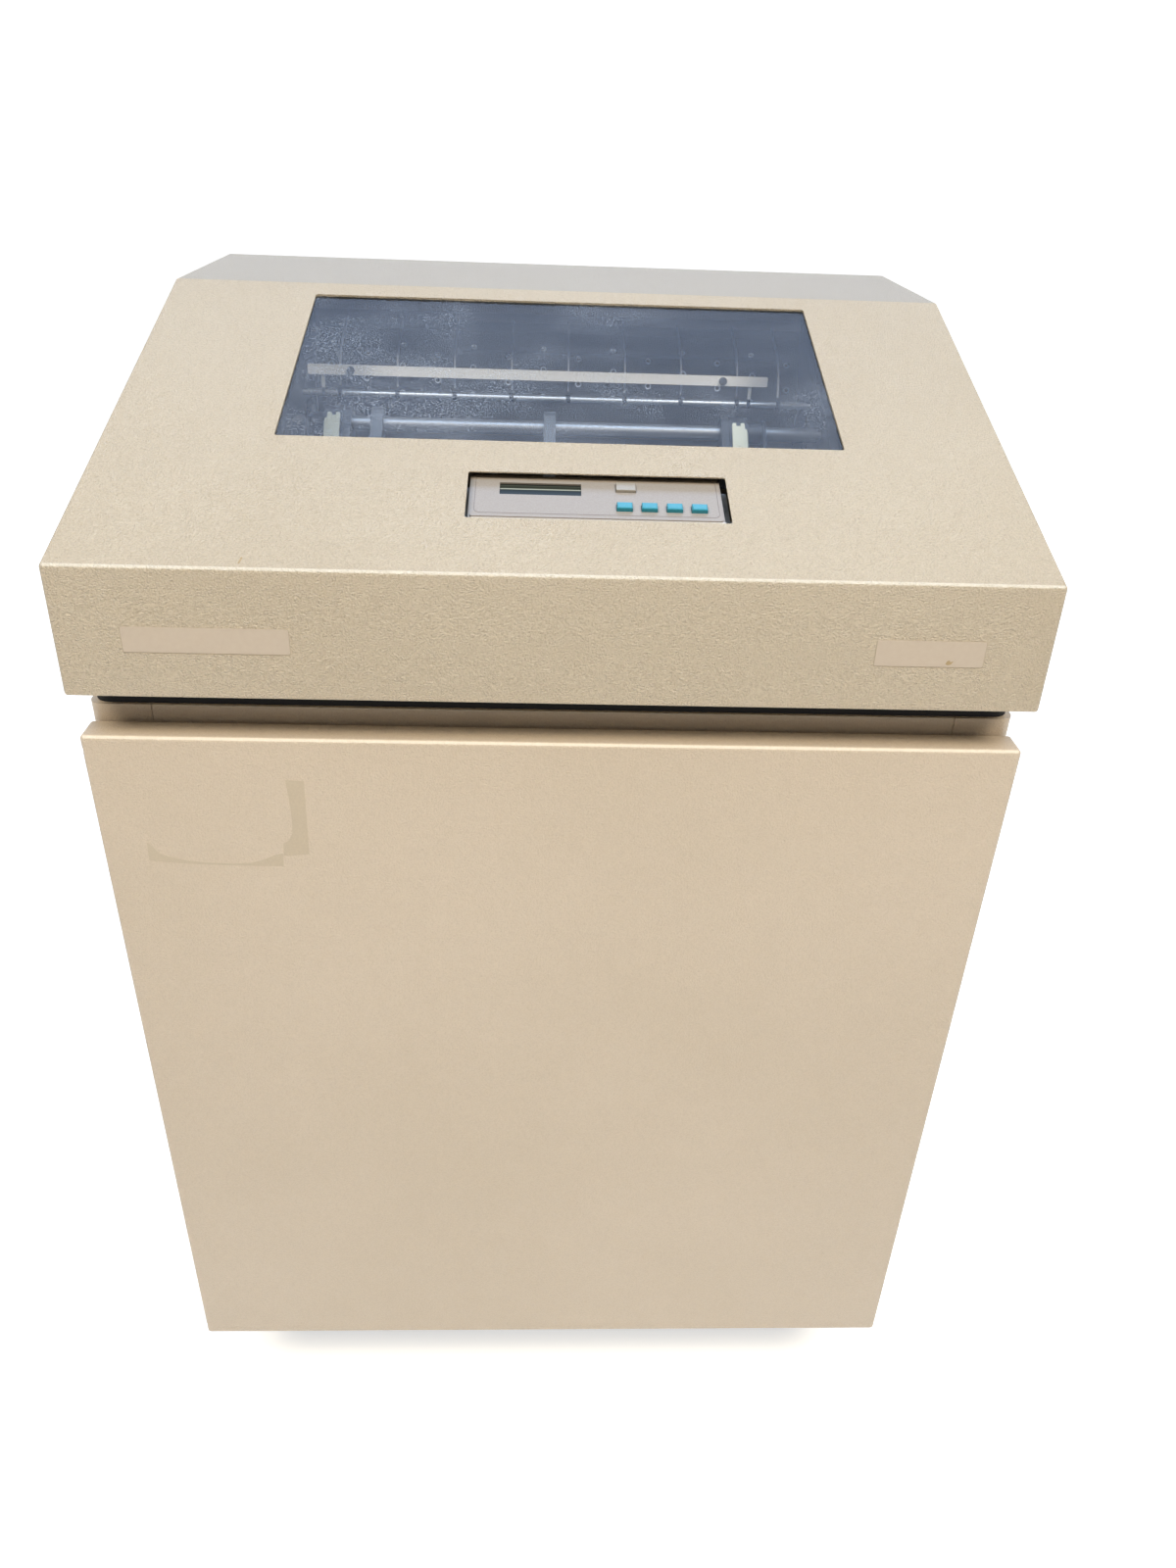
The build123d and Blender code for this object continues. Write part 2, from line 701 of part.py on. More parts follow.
# Doors: a folded skin with returns on all sides, pivot bosses, and notches for the pivot arms
boss_size = 14.0
notch_margin = 1.5
vent_z = 330.0
def door_skin(side, bottom_z):
    """A door's skin in its closed place: side is -1 at the front and +1 at the rear."""
    inner_y = side * (-door_front_y - door_depth)
    mid_z = (bottom_z + door_top_z) / 2
    tall = door_top_z - bottom_z
    with BuildPart() as skin:
        with BuildSketch(Plane.XZ.offset(-inner_y)):
            with Locations((0, mid_z)):
                Rectangle(width, tall)
        extrude(amount=-side * door_depth)
        face_edges = skin.edges().group_by(Axis.Y)[-1 if side > 0 else 0]
        corner_edges = skin.edges().filter_by(Axis.Y)
        fillet(face_edges + corner_edges, radius=door_round)
        with BuildSketch(Plane.XZ.offset(-inner_y)):
            with Locations((0, mid_z)):
                RectangleRounded(width - 2 * sheet, tall - 2 * sheet, door_round - sheet)
        extrude(amount=-side * (door_depth - sheet), mode=Mode.SUBTRACT)
        lower_z = bottom_z + sheet
        for boss_z, hole_z in (
            (door_top_z - sheet - boss_height, door_top_z - sheet - boss_height - 1),
            (lower_z, lower_z),
        ):
            with BuildSketch(Plane.XY.offset(boss_z)):
                with Locations((side * (pivot_x - 1), side * (pivot_y + 1))):
                    Rectangle(boss_size, boss_size)
            extrude(amount=boss_height)
            with BuildSketch(Plane.XY.offset(hole_z)):
                with Locations((side * pivot_x, side * pivot_y)):
                    Circle(pivot_radius + running_gap)
            extrude(amount=boss_height + 1, mode=Mode.SUBTRACT)
        for arm_z in (upper_arm_z, bottom_z - door_bottom_z + lower_arm_z):
            with BuildSketch(Plane.XY.offset(arm_z - notch_margin)):
                with Locations((side * (half_width - 2), side * (pivot_y - 4))):
                    Rectangle(8, 28)
            extrude(amount=arm_thickness + notch_margin + pivot_play, mode=Mode.SUBTRACT)
        if side > 0:
            with BuildSketch(Plane.XZ.offset(-inner_y)):
                with Locations((0, vent_z)):
                    with GridLocations(34, 44, 14, 3):
                        SlotOverall(*slot_size, rotation=90)
            extrude(amount=-side * (door_depth + 1), mode=Mode.SUBTRACT)
    return skin


front_door = door_skin(-1, door_bottom_z)
save(front_door, "front_door_shell")
rear_door = door_skin(1, door_bottom_z)
save(rear_door, "rear_door_shell")

# Foam pad inside the front door, clear of the pivot arms
pad_thickness = 14.0
pad_width = 600.0
pad_margin = 30.0
with BuildPart() as door_liner:
    with BuildSketch(Plane.XZ.offset(-door_front_y - sheet)):
        with Locations((8, (door_bottom_z + door_top_z) / 2)):
            RectangleRounded(pad_width, door_top_z - door_bottom_z - 2 * pad_margin, 12)
    extrude(amount=-pad_thickness)
save(door_liner, "front_door_liner")

# Mechanism side frames: a pair of cast plates with seats for every shaft and a lightening hole
frame_outer_x = side_frame_x + side_frame_thickness
lever_at = (30.0, 905.0)
lever_stud_radius = 4.0
lever_stud_length = 9.0
frame_foot_size = (28.0, 230.0)
frame_foot_thickness = 5.0
with BuildPart() as side_frames:
    for side in (-1, 1):
        with BuildSketch(Plane.YZ.offset(side * side_frame_x)):
            with BuildLine():
                Polyline(
                    (-118, deck_top_z), (-118, 888), (-70, 940), (-22, 974), (34, 990),
                    (78, 1030), (140, 1036), (140, 1008), (112, 960), (112, deck_top_z),
                    close=True,
                )
            make_face()
            with Locations((72, 925)):
                RectangleRounded(50, 60, 12, mode=Mode.SUBTRACT)
            with Locations(drive_shaft_at):
                Circle(shaft_radius + running_gap, mode=Mode.SUBTRACT)
            with Locations(support_shaft_at):
                Circle(journal_radius, mode=Mode.SUBTRACT)
            with Locations(guide_rod_at):
                Circle(rod_end_radius, mode=Mode.SUBTRACT)
            with Locations(platen_at):
                Circle(platen_journal + running_gap, mode=Mode.SUBTRACT)
        extrude(amount=side * side_frame_thickness)
        with BuildSketch(Plane.XY.offset(deck_top_z)):
            with Locations((side * (side_frame_x + frame_foot_size[0] / 2), -3)):
                Rectangle(*frame_foot_size)
        extrude(amount=frame_foot_thickness)
    corners = side_frames.edges().filter_by(Axis.X).filter_by(
        lambda e: e.length > side_frame_thickness - 0.1 and e.center().Z > 950
    )
    fillet(corners, radius=5)
    with BuildSketch(Plane.YZ.offset(frame_outer_x)):
        with Locations(lever_at):
            Circle(lever_stud_radius)
    extrude(amount=lever_stud_length)
    with BuildSketch(Plane.YZ.offset(frame_outer_x + lever_stud_length)):
        with Locations(lever_at):
            Circle(8)
    extrude(amount=3)
save(side_frames, "side_frames")

# Fixed support shaft, stepped down to a journal at each end
shaft_shoulder_x = 240.0
with BuildPart() as support_shaft:
    with BuildSketch(Plane.YZ):
        with Locations(support_shaft_at):
            Circle(shaft_radius)
    extrude(amount=shaft_shoulder_x, both=True)
    with BuildSketch(Plane.YZ):
        with Locations(support_shaft_at):
            Circle(journal_radius)
    extrude(amount=frame_outer_x, both=True)
save(support_shaft, "support_shaft")

# Guide rod in front of the clear shield, also stepped down at its ends
with BuildPart() as guide_rod:
    with BuildSketch(Plane.YZ):
        with Locations(guide_rod_at):
            Circle(guide_rod_radius)
    extrude(amount=shaft_shoulder_x, both=True)
    with BuildSketch(Plane.YZ):
        with Locations(guide_rod_at):
            Circle(rod_end_radius)
    extrude(amount=frame_outer_x, both=True)
save(guide_rod, "guide_rod")

# Splined drive shaft: vertical position knob on its right end, toothed pulley on its left end
spline_count = 8
pulley_radius = 18.0
pulley_width = 10.0
pulley_gap = 6.0
knob_radius = 17.0
knob_width = 18.0
spline_size = 1.8
with BuildPart() as drive_shaft:
    with BuildSketch(Plane.YZ):
        with Locations(drive_shaft_at):
            Circle(shaft_radius)
            with PolarLocations(shaft_radius, spline_count):
                Rectangle(spline_size, spline_size, mode=Mode.SUBTRACT)
    extrude(amount=side_frame_x - 2, both=True)
    for side in (-1, 1):
        with BuildSketch(Plane.YZ.offset(side * (side_frame_x - 2))):
            with Locations(drive_shaft_at):
                Circle(shaft_radius)
        extrude(amount=side * (side_frame_thickness + 8))
    with BuildSketch(Plane.YZ.offset(frame_outer_x + pulley_gap)):
        with Locations(drive_shaft_at):
            Circle(knob_radius)
            with PolarLocations(knob_radius, 18):
                Circle(1.4, mode=Mode.SUBTRACT)
    extrude(amount=knob_width)
    chamfer(drive_shaft.faces().sort_by(Axis.X)[-1].outer_wire().edges(), 0.8)
    with BuildSketch(Plane.YZ.offset(-frame_outer_x - pulley_gap)):
        with Locations(drive_shaft_at):
            Circle(pulley_radius)
            with PolarLocations(pulley_radius, 24):
                Rectangle(2.4, 2.2, mode=Mode.SUBTRACT)
    extrude(amount=-pulley_width)
save(drive_shaft, "drive_shaft")

# Feed direction of the tractors, from the drive shaft up to the support shaft
feed_dy = support_shaft_at[0] - drive_shaft_at[0]
feed_dz = support_shaft_at[1] - drive_shaft_at[1]
feed_span = math.hypot(feed_dy, feed_dz)
feed_angle = math.degrees(math.atan2(feed_dz, feed_dy))


def feed_plane(x):
    """Plane across the shafts at x, its own X axis running up the feed direction."""
    return Plane(
        origin=(x, drive_shaft_at[0], drive_shaft_at[1]),
        x_dir=(0, feed_dy, feed_dz),
        z_dir=(1, 0, 0),
    )


# Tractors: body on both shafts, pin belt in its top, and a hinged cream door over it
belt_top = 13.0
belt_width = 8.0
pin_pitch = 12.7
pin_count = 4
pin_height = 3.2
outer_plate_at = 28.0
outer_plate_thickness = 3.0
door_width = 11.5
door_low = -7.0
door_high = feed_span - 2.5
for x, outward, side_name in ((tractor_left_x, -1, "left"), (tractor_right_x, 1, "right")):
    with BuildPart() as tractor:
        with BuildSketch(feed_plane(x - tractor_width / 2)):
            with Locations((feed_span / 2, 0)):
                SlotOverall(feed_span + 30, 26)
        extrude(amount=tractor_width)
        belt_x = x - outward
        with BuildSketch(feed_plane(belt_x - belt_width / 2)):
            with Locations((feed_span / 2, 0)):
                SlotOverall(feed_span + 32, 28)
        extrude(amount=belt_width)
        pin_places = [
            feed_span / 2 + pin_pitch * (i - (pin_count - 1) / 2) for i in range(pin_count)
        ]
        for along in pin_places:
            pin_spot = feed_plane(belt_x).from_local_coords((along, belt_top, 0))
            pin_plane = Plane(
                origin=pin_spot, x_dir=(1, 0, 0), z_dir=feed_plane(0).y_dir
            )
            with BuildSketch(pin_plane):
                Circle(1.7)
            extrude(amount=pin_height, taper=12)
        with BuildSketch(feed_plane(x - tractor_width / 2 - 1)):
            Circle(shaft_radius + running_gap)
            with Locations((feed_span, 0)):
                Circle(shaft_radius + running_gap)
        extrude(amount=tractor_width + 2, mode=Mode.SUBTRACT)
        outer_plate_x = x + outward * outer_plate_at
        with BuildSketch(feed_plane(min(outer_plate_x, x))):
            for along in (0, feed_span):
                with Locations((along, 0)):
                    Circle(shaft_radius + 3)
                    Circle(shaft_radius + running_gap, mode=Mode.SUBTRACT)
        extrude(amount=outer_plate_at)
        with BuildSketch(feed_plane(outer_plate_x - outer_plate_thickness / 2)):
            with Locations((feed_span / 2, 0)):
                SlotOverall(feed_span + 24, 22)
            for along in (0, feed_span):
                with Locations((along, 0)):
                    Circle(shaft_radius + running_gap, mode=Mode.SUBTRACT)
        extrude(amount=outer_plate_thickness)
        hinge_spot_x = x + outward * (tractor_width / 2 - 2)
        for low, high in ((2, 8), (feed_span - 8, feed_span - 2)):
            lug_plane = Plane(
                origin=feed_plane(hinge_spot_x).from_local_coords((low, belt_top + 2, 0)),
                x_dir=(1, 0, 0),
                z_dir=feed_plane(0).x_dir,
            )
            with BuildSketch(lug_plane):
                Rectangle(3.6, 5)
                Circle(1.0, mode=Mode.SUBTRACT)
            extrude(amount=high - low)
    save(tractor, f"tractor_{side_name}")

    with BuildPart() as tractor_door:
        door_middle_x = x + outward * (tractor_width / 2 - 2) - outward * 7.75
        cover_plane = Plane(
            origin=feed_plane(door_middle_x).from_local_coords(
                ((door_low + door_high) / 2, belt_top + 5, 0)
            ),
            x_dir=(1, 0, 0),
            z_dir=feed_plane(0).y_dir,
        )
        with BuildSketch(cover_plane):
            RectangleRounded(door_width, door_high - door_low, 1.5)
            with Locations((0, (door_high - door_low) / 2)):
                Rectangle(4, 6, mode=Mode.SUBTRACT)
        extrude(amount=2.6)
        with BuildSketch(cover_plane):
            with Locations((-outward * 2.5, 0)):
                SlotOverall(door_high - door_low - 16, 4.6, rotation=90)
        extrude(amount=1.4, mode=Mode.SUBTRACT)
        with BuildSketch(cover_plane.offset(2.6)):
            with Locations((0, 0)):
                Circle(1.7)
        extrude(amount=0.5)
        barrel_plane = Plane(
            origin=feed_plane(hinge_spot_x).from_local_coords((8.4, belt_top + 2, 0)),
            x_dir=(1, 0, 0),
            z_dir=feed_plane(0).x_dir,
        )
        with BuildSketch(barrel_plane):
            Circle(1.8)
        extrude(amount=feed_span - 16.8)
        with BuildSketch(barrel_plane):
            with Locations((-outward * 2, -2.6)):
                Rectangle(4, 5.2)
        extrude(amount=feed_span - 16.8)
        with BuildSketch(barrel_plane.offset(-6.4)):
            Circle(1.0 - running_gap)
        extrude(amount=feed_span - 4)
    save(tractor_door, f"tractor_{side_name}_door")

# Paper supports: slim plates that ride on both shafts
support_thickness = 11.0
for x, name in ((support_left_x, "paper_support_left"), (support_centre_x, "paper_support_centre")):
    with BuildPart() as paper_support:
        with BuildSketch(feed_plane(x - support_thickness / 2)):
            with Locations((feed_span / 2, 1)):
                SlotOverall(feed_span + 30, 24)
            Circle(shaft_radius + running_gap, mode=Mode.SUBTRACT)
            with Locations((feed_span, 0)):
                Circle(shaft_radius + running_gap, mode=Mode.SUBTRACT)
        extrude(amount=support_thickness)
    save(paper_support, name)

# Platen: a round bar with a flat anvil face, on two journals
platen_radius = 12.0
with BuildPart() as platen:
    with BuildSketch(Plane.YZ):
        with Locations(platen_at):
            Circle(platen_radius)
        with Locations((platen_at[0] - platen_radius - 2, platen_at[1])):
            Rectangle(8, 30, mode=Mode.SUBTRACT)
    extrude(amount=side_frame_x - 1, both=True)
    with BuildSketch(Plane.YZ):
        with Locations(platen_at):
            Circle(platen_journal)
    extrude(amount=frame_outer_x + 2, both=True)
save(platen, "platen")

# Forms thickness lever outside the right frame, turning on its stud
with BuildPart() as forms_lever:
    with BuildSketch(Plane.YZ.offset(frame_outer_x + 3)):
        with Locations(lever_at):
            Circle(11)
        with BuildLine():
            Polyline(
                (lever_at[0] - 8, lever_at[1] + 4), (lever_at[0] - 34, lever_at[1] + 80),
                (lever_at[0] - 26, lever_at[1] + 83), (lever_at[0] + 8, lever_at[1] + 4),
                close=True,
            )
        make_face()
    extrude(amount=4)
    with BuildSketch(Plane.YZ.offset(frame_outer_x + 1)):
        with Locations((lever_at[0] - 31, lever_at[1] + 86)):
            SlotOverall(26, 13, rotation=108)
    extrude(amount=11)
    with BuildSketch(Plane.YZ.offset(frame_outer_x)):
        with Locations(lever_at):
            Circle(lever_stud_radius + running_gap)
    extrude(amount=12, mode=Mode.SUBTRACT)
save(forms_lever, "forms_lever")


def shield_point(radius, degrees):
    """Point on an arc about the shield's centre, as (y, z)."""
    turn = math.radians(degrees)
    return (
        shield_centre[0] + radius * math.cos(turn),
        shield_centre[1] + radius * math.sin(turn),
    )


def curved_sheet(inner_radius, outer_radius, first_angle):
    """Closed outline of a sheet that follows the shield from its front edge to its rear end."""
    lean = math.radians(shield_end_angle - 90)
    run = (shield_run * math.cos(lean), shield_run * math.sin(lean))
    outer_end = shield_point(outer_radius, shield_end_angle)
    inner_end = shield_point(inner_radius, shield_end_angle)
    far_outer = (outer_end[0] + run[0], outer_end[1] + run[1])
    far_inner = (inner_end[0] + run[0], inner_end[1] + run[1])
    sweep = first_angle - shield_end_angle
    CenterArc(shield_centre, outer_radius, shield_end_angle, sweep)
    Line(outer_end, far_outer)
    Line(far_outer, far_inner)
    Line(far_inner, inner_end)
    CenterArc(shield_centre, inner_radius, shield_end_angle, sweep)
    Line(shield_point(inner_radius, first_angle), shield_point(outer_radius, first_angle))


# Clear shield with staggered rows of round holes
shield_outer = shield_radius + shield_thickness / 2
shield_inner = shield_radius - shield_thickness / 2
hole_pitch = 67.4
hole_radius = 2.6
hole_columns = 7
with BuildPart() as shield:
    with BuildSketch(Plane.YZ):
        with BuildLine():
            curved_sheet(shield_inner, shield_outer, 184)
        make_face()
    extrude(amount=side_frame_x, both=True)
    for first_x, angles in ((-217.7, (177, 145, 113)), (-184.0, (161, 129))):
        for angle in angles:
            spot = shield_point(shield_radius, angle)
            turn = math.radians(angle)
            drill = Plane(
                origin=(0, spot[0], spot[1]),
                x_dir=(1, 0, 0),
                z_dir=(0, math.cos(turn), math.sin(turn)),
            )
            with BuildSketch(drill.offset(-3)):
                with Locations(*[(first_x + hole_pitch * i, 0) for i in range(hole_columns)]):
                    Circle(hole_radius)
            extrude(amount=6, mode=Mode.SUBTRACT)
save(shield, "curved_shield")

# Thin guide ribs on the front of the shield, over which the paper slides
rib_thickness = 1.6
rib_height = 3.0
with BuildPart() as guide_ribs:
    for x in rib_places:
        with BuildSketch(Plane.YZ.offset(x - rib_thickness / 2)):
            with BuildLine():
                curved_sheet(shield_outer, shield_outer + rib_height, 170)
            make_face()
        extrude(amount=rib_thickness)
save(guide_ribs, "paper_guide_ribs")

# Clips on the guide rod: a black collar at each rib, and two posts for the scale
collar_radius = 3.9
scale_y = 45.0
scale_low_z = 984.5
scale_high_z = 993.5
scale_left_x = -237.0
scale_right_x = 199.0
post_places = (-224.0, 183.0)
with BuildPart() as rod_clips:
    for x in rib_places:
        with BuildSketch(Plane.YZ.offset(x - 2)):
            with Locations(guide_rod_at):
                Circle(collar_radius)
                Circle(guide_rod_radius, mode=Mode.SUBTRACT)
        extrude(amount=4)
    for x in post_places:
        rod_size = guide_rod_radius if abs(x) < shaft_shoulder_x else rod_end_radius
        with BuildSketch(Plane.YZ.offset(x - 1.5)):
            with Locations(guide_rod_at):
                Circle(collar_radius)
            with Locations((scale_y + 2, (guide_rod_at[1] + scale_high_z) / 2)):
                Rectangle(2, scale_high_z - guide_rod_at[1])
            with Locations(guide_rod_at):
                Circle(rod_size, mode=Mode.SUBTRACT)
        extrude(amount=3)
save(rod_clips, "guide_rod_clips")

# Paper scale: a white bar across the paper, with a tapped hole near each end
screw_places = (-196.5, 156.0)
screw_shank = 2.0
with BuildPart() as paper_scale:
    with BuildSketch(Plane.XZ.offset(-scale_y - 1)):
        with Locations(((scale_left_x + scale_right_x) / 2, (scale_low_z + scale_high_z) / 2)):
            RectangleRounded(scale_right_x - scale_left_x, scale_high_z - scale_low_z, 0.8)
        with Locations(*[(x, (scale_low_z + scale_high_z) / 2) for x in screw_places]):
            Circle(screw_shank, mode=Mode.SUBTRACT)
    extrude(amount=2)
save(paper_scale, "paper_scale")

with BuildPart() as scale_screws:
    for x in screw_places:
        with BuildSketch(Plane.XZ.offset(-scale_y - 1)):
            with Locations((x, (scale_low_z + scale_high_z) / 2)):
                Circle(screw_shank)
        extrude(amount=2)
        with BuildSketch(Plane.XZ.offset(-scale_y + 1)):
            with Locations((x, (scale_low_z + scale_high_z) / 2)):
                Circle(3.8)
        extrude(amount=1.8)
        with BuildSketch(Plane.XZ.offset(-scale_y + 2.1)):
            with Locations((x, (scale_low_z + scale_high_z) / 2)):
                Rectangle(8, 0.9, rotation=30)
        extrude(amount=1, mode=Mode.SUBTRACT)
save(scale_screws, "scale_screws")

# Shuttle frame: a cast bed on the deck with two rails for the hammer bank
bank_half_width = 196.0
bank_front_y = -128.0
bank_rear_y = -84.0
rail_z = 822.0
rail_radius = 5.0
rail_ys = (-119.0, -93.0)
with BuildPart() as shuttle_frame:
    with BuildSketch(Plane.XY.offset(deck_top_z)):
        with Locations((0, (bank_front_y + bank_rear_y) / 2)):
            Rectangle(468, bank_rear_y - bank_front_y)
    extrude(amount=6)
    for side in (-1, 1):
        with BuildSketch(Plane.XY.offset(deck_top_z)):
            with Locations((side * 224, (bank_front_y + bank_rear_y) / 2)):
                Rectangle(20, bank_rear_y - bank_front_y)
        extrude(amount=32)
    for y in rail_ys:
        with BuildSketch(Plane.YZ):
            with Locations((y, rail_z)):
                Circle(rail_radius)
        extrude(amount=220, both=True)
save(shuttle_frame, "shuttle_frame")

# Hammer bank: a bar of print hammers that shuttles along the rails
hammer_pitch = 14.0
hammer_count = 26
bank_bottom_z = 809.0
bank_top_z = 882.0
with BuildPart() as hammer_bank:
    with BuildSketch(Plane.YZ):
        with BuildLine():
            Polyline(
                (bank_front_y, bank_bottom_z), (bank_front_y, 838), (-112, 846), (-112, bank_top_z),
                (-92, bank_top_z), (bank_rear_y, 872), (bank_rear_y, bank_bottom_z),
                close=True,
            )
        make_face()
        with Locations(*[(y, rail_z) for y in rail_ys]):
            Circle(rail_radius + running_gap, mode=Mode.SUBTRACT)
    extrude(amount=bank_half_width, both=True)
    with BuildSketch(Plane.XZ.offset(-bank_rear_y - 3)):
        with Locations((0, 848)):
            with GridLocations(hammer_pitch, 30, hammer_count, 1):
                Rectangle(2.0, 34)
    extrude(amount=-4, mode=Mode.SUBTRACT)
save(hammer_bank, "hammer_bank")

# Ribbon spools with their wound ribbon, turning on the deck's posts
spool_height = 26.0
for side, name in ((-1, "ribbon_spool_left"), (1, "ribbon_spool_right")):
    with BuildPart() as spool:
        for z, tall, radius in (
            (spool_low_z, 1.5, spool_radius),
            (spool_low_z, spool_height, 20),
            (spool_low_z + 1.5, spool_height - 3, spool_radius - 8),
            (spool_low_z + spool_height - 1.5, 1.5, spool_radius),
        ):
            with BuildSketch(Plane.XY.offset(z)):
                with Locations((side * spool_x, spool_y)):
                    Circle(radius)
            extrude(amount=tall)
        with BuildSketch(Plane.XY.offset(spool_low_z + spool_height - 1.5)):
            with Locations((side * spool_x, spool_y)):
                with PolarLocations(38, 3):
                    SlotOverall(34, 15, rotation=90)
        extrude(amount=2, mode=Mode.SUBTRACT)
        with BuildSketch(Plane.XY.offset(spool_low_z - 1)):
            with Locations((side * spool_x, spool_y)):
                Circle(post_radius + running_gap)
        extrude(amount=spool_height + 2, mode=Mode.SUBTRACT)
    save(spool, name)

# Ribbon: from each spool round a guide post and across the front of the platen
web_y = -74.0
web_turn_x = 216.0
web_low_z = spool_low_z + 2.0
web_high_z = spool_low_z + spool_height - 2.0
web_thickness = 0.5
web_start = (spool_x - 18.4, spool_y + 51.4)
with BuildPart() as ribbon:
    with BuildSketch(Plane.XY.offset(web_low_z)):
        with BuildLine():
            Polyline(
                (-web_start[0], web_start[1]), (-web_turn_x, web_y),
                (web_turn_x, web_y), (web_start[0], web_start[1]),
                (web_start[0] + web_thickness, web_start[1]),
                (web_turn_x + web_thickness, web_y + web_thickness),
                (-web_turn_x - web_thickness, web_y + web_thickness),
                (-web_start[0] - web_thickness, web_start[1]),
                close=True,
            )
        make_face()
    extrude(amount=web_high_z - web_low_z)
save(ribbon, "ribbon_web")

# Control panel: a moulded face under the hood's opening, with its keys and display
panel_recess = 6.5
panel_thickness = 3.0
panel_left = -67.4
panel_right = 116.4
panel_low = 68.0
panel_high = 124.8
panel_x = (panel_left + panel_right) / 2
panel_s = (panel_low + panel_high) / 2
display_size = (59.5, 14.7)
display_at = (-16.0, 109.0)
soft_key_at = (46.5, 112.0)
soft_key_size = (14.6, 9.5)
teal_keys = (("clear", 44.8), ("feed", 62.8), ("eject", 81.0), ("online", 99.0))
teal_key_s = 87.5
teal_key_size = (11.4, 7.4)
key_gap = 0.3
with BuildPart() as control_panel:
    with BuildSketch(slope_plane.offset(-panel_recess)):
        with Locations((panel_x, panel_s)):
            RectangleRounded(panel_right - panel_left, panel_high - panel_low, 3)
    extrude(amount=-12, taper=-8)
    with BuildSketch(slope_plane.offset(-panel_recess - panel_thickness)):
        with Locations((panel_x, panel_s)):
            RectangleRounded(panel_right - panel_left - 5, panel_high - panel_low - 5, 2)
    extrude(amount=-12, mode=Mode.SUBTRACT)
    with BuildSketch(slope_plane.offset(-panel_recess)):
        with Locations((panel_x, panel_low + 6.6)):
            SlotOverall(panel_right - panel_left - 3, 3.4)
    extrude(amount=1.2)
    with BuildSketch(slope_plane.offset(-panel_recess + 1)):
        with Locations(display_at):
            Rectangle(*display_size)
        with Locations(soft_key_at):
            Rectangle(soft_key_size[0] + 2 * key_gap, soft_key_size[1] + 2 * key_gap)
        for key_name, key_x in teal_keys:
            with Locations((key_x, teal_key_s)):
                Rectangle(teal_key_size[0] + 2 * key_gap, teal_key_size[1] + 2 * key_gap)
    extrude(amount=-panel_thickness - 2, mode=Mode.SUBTRACT)
save(control_panel, "control_panel")

with BuildPart() as display:
    with BuildSketch(slope_plane.offset(-panel_recess - 1.2)):
        with Locations(display_at):
            Rectangle(*display_size)
    extrude(amount=-(panel_thickness - 1.2))
    with BuildSketch(slope_plane.offset(-panel_recess - panel_thickness)):
        with Locations(display_at):
            Rectangle(display_size[0] + 14, display_size[1] + 3)
    extrude(amount=-5)
save(display, "display_module")


def panel_key(x, s, size, rise, edge):
    """A key cap through the panel with a wider foot below it."""
    with BuildPart() as key:
        with BuildSketch(slope_plane.offset(-panel_recess + rise)):
            with Locations((x, s)):
                Rectangle(*size)
        extrude(amount=-rise - panel_thickness - 1)
        fillet(key.faces().sort_by(slope_axis)[-1].edges(), edge)
        with BuildSketch(slope_plane.offset(-panel_recess - panel_thickness - 0.3)):
            with Locations((x, s)):
                Rectangle(size[0] + 2.4, size[1] + 2.4)
        extrude(amount=-2)
    return key


soft_key = panel_key(soft_key_at[0], soft_key_at[1], soft_key_size, 2.2, 0.6)
save(soft_key, "key_grey")
for key_name, key_x in teal_keys:
    teal_key = panel_key(key_x, teal_key_s, teal_key_size, 3.2, 1.0)
    save(teal_key, f"key_{key_name}")

# Bracket that carries the control panel above the deck
leg_y = -268.0
leg_depth = 30.0
with BuildPart() as panel_bracket:
    with BuildSketch(slope_plane.offset(-panel_recess - 12)):
        with Locations((panel_x, panel_s)):
            Rectangle(panel_right - panel_left + 14, panel_high - panel_low + 3)
    extrude(amount=-2)
    for leg_x in (panel_left + 6, panel_right - 6):
        with BuildSketch(Plane.YZ.offset(leg_x - 1)):
            with BuildLine():
                leg_top_front = slope_plane.from_local_coords((0, panel_low + 2, -panel_recess - 13))
                leg_top_rear = slope_plane.from_local_coords((0, panel_high - 10, -panel_recess - 13))
                Polyline(
                    (leg_y - leg_depth / 2, deck_top_z),
                    (leg_top_front.Y, leg_top_front.Z),
                    (leg_top_rear.Y, leg_top_rear.Z),
                    (leg_y + leg_depth / 2, deck_top_z),
                    close=True,
                )
            make_face()
        extrude(amount=2)
        with BuildSketch(Plane.XY.offset(deck_top_z)):
            with Locations((leg_x, leg_y)):
                Rectangle(24, leg_depth)
        extrude(amount=2)
save(panel_bracket, "control_panel_bracket")

# Feed motor on the left of the deck, its pulley below the drive shaft's pulley
motor_at = (-40.0, 848.0)
motor_size = 56.0
motor_length = 36.0
motor_gap = 12.0
motor_pulley_radius = 9.0
pulley_x = -frame_outer_x - pulley_gap - pulley_width / 2
with BuildPart() as feed_motor:
    with BuildSketch(Plane.YZ.offset(pulley_x - motor_gap)):
        with Locations(motor_at):
            RectangleRounded(motor_size, motor_size, 6)
    extrude(amount=-motor_length)
    with BuildSketch(Plane.YZ.offset(pulley_x - motor_gap)):
        with Locations(motor_at):
            Circle(4)
    extrude(amount=motor_gap + pulley_width / 2)
    with BuildSketch(Plane.YZ.offset(pulley_x - pulley_width / 2)):
        with Locations(motor_at):
            Circle(motor_pulley_radius)
    extrude(amount=pulley_width)
    with BuildSketch(Plane.XY.offset(deck_top_z)):
        with Locations((pulley_x - motor_gap - motor_length / 2, motor_at[0])):
            Rectangle(motor_length, 70)
    extrude(amount=motor_at[1] - motor_size / 2 - deck_top_z)
save(feed_motor, "feed_motor")

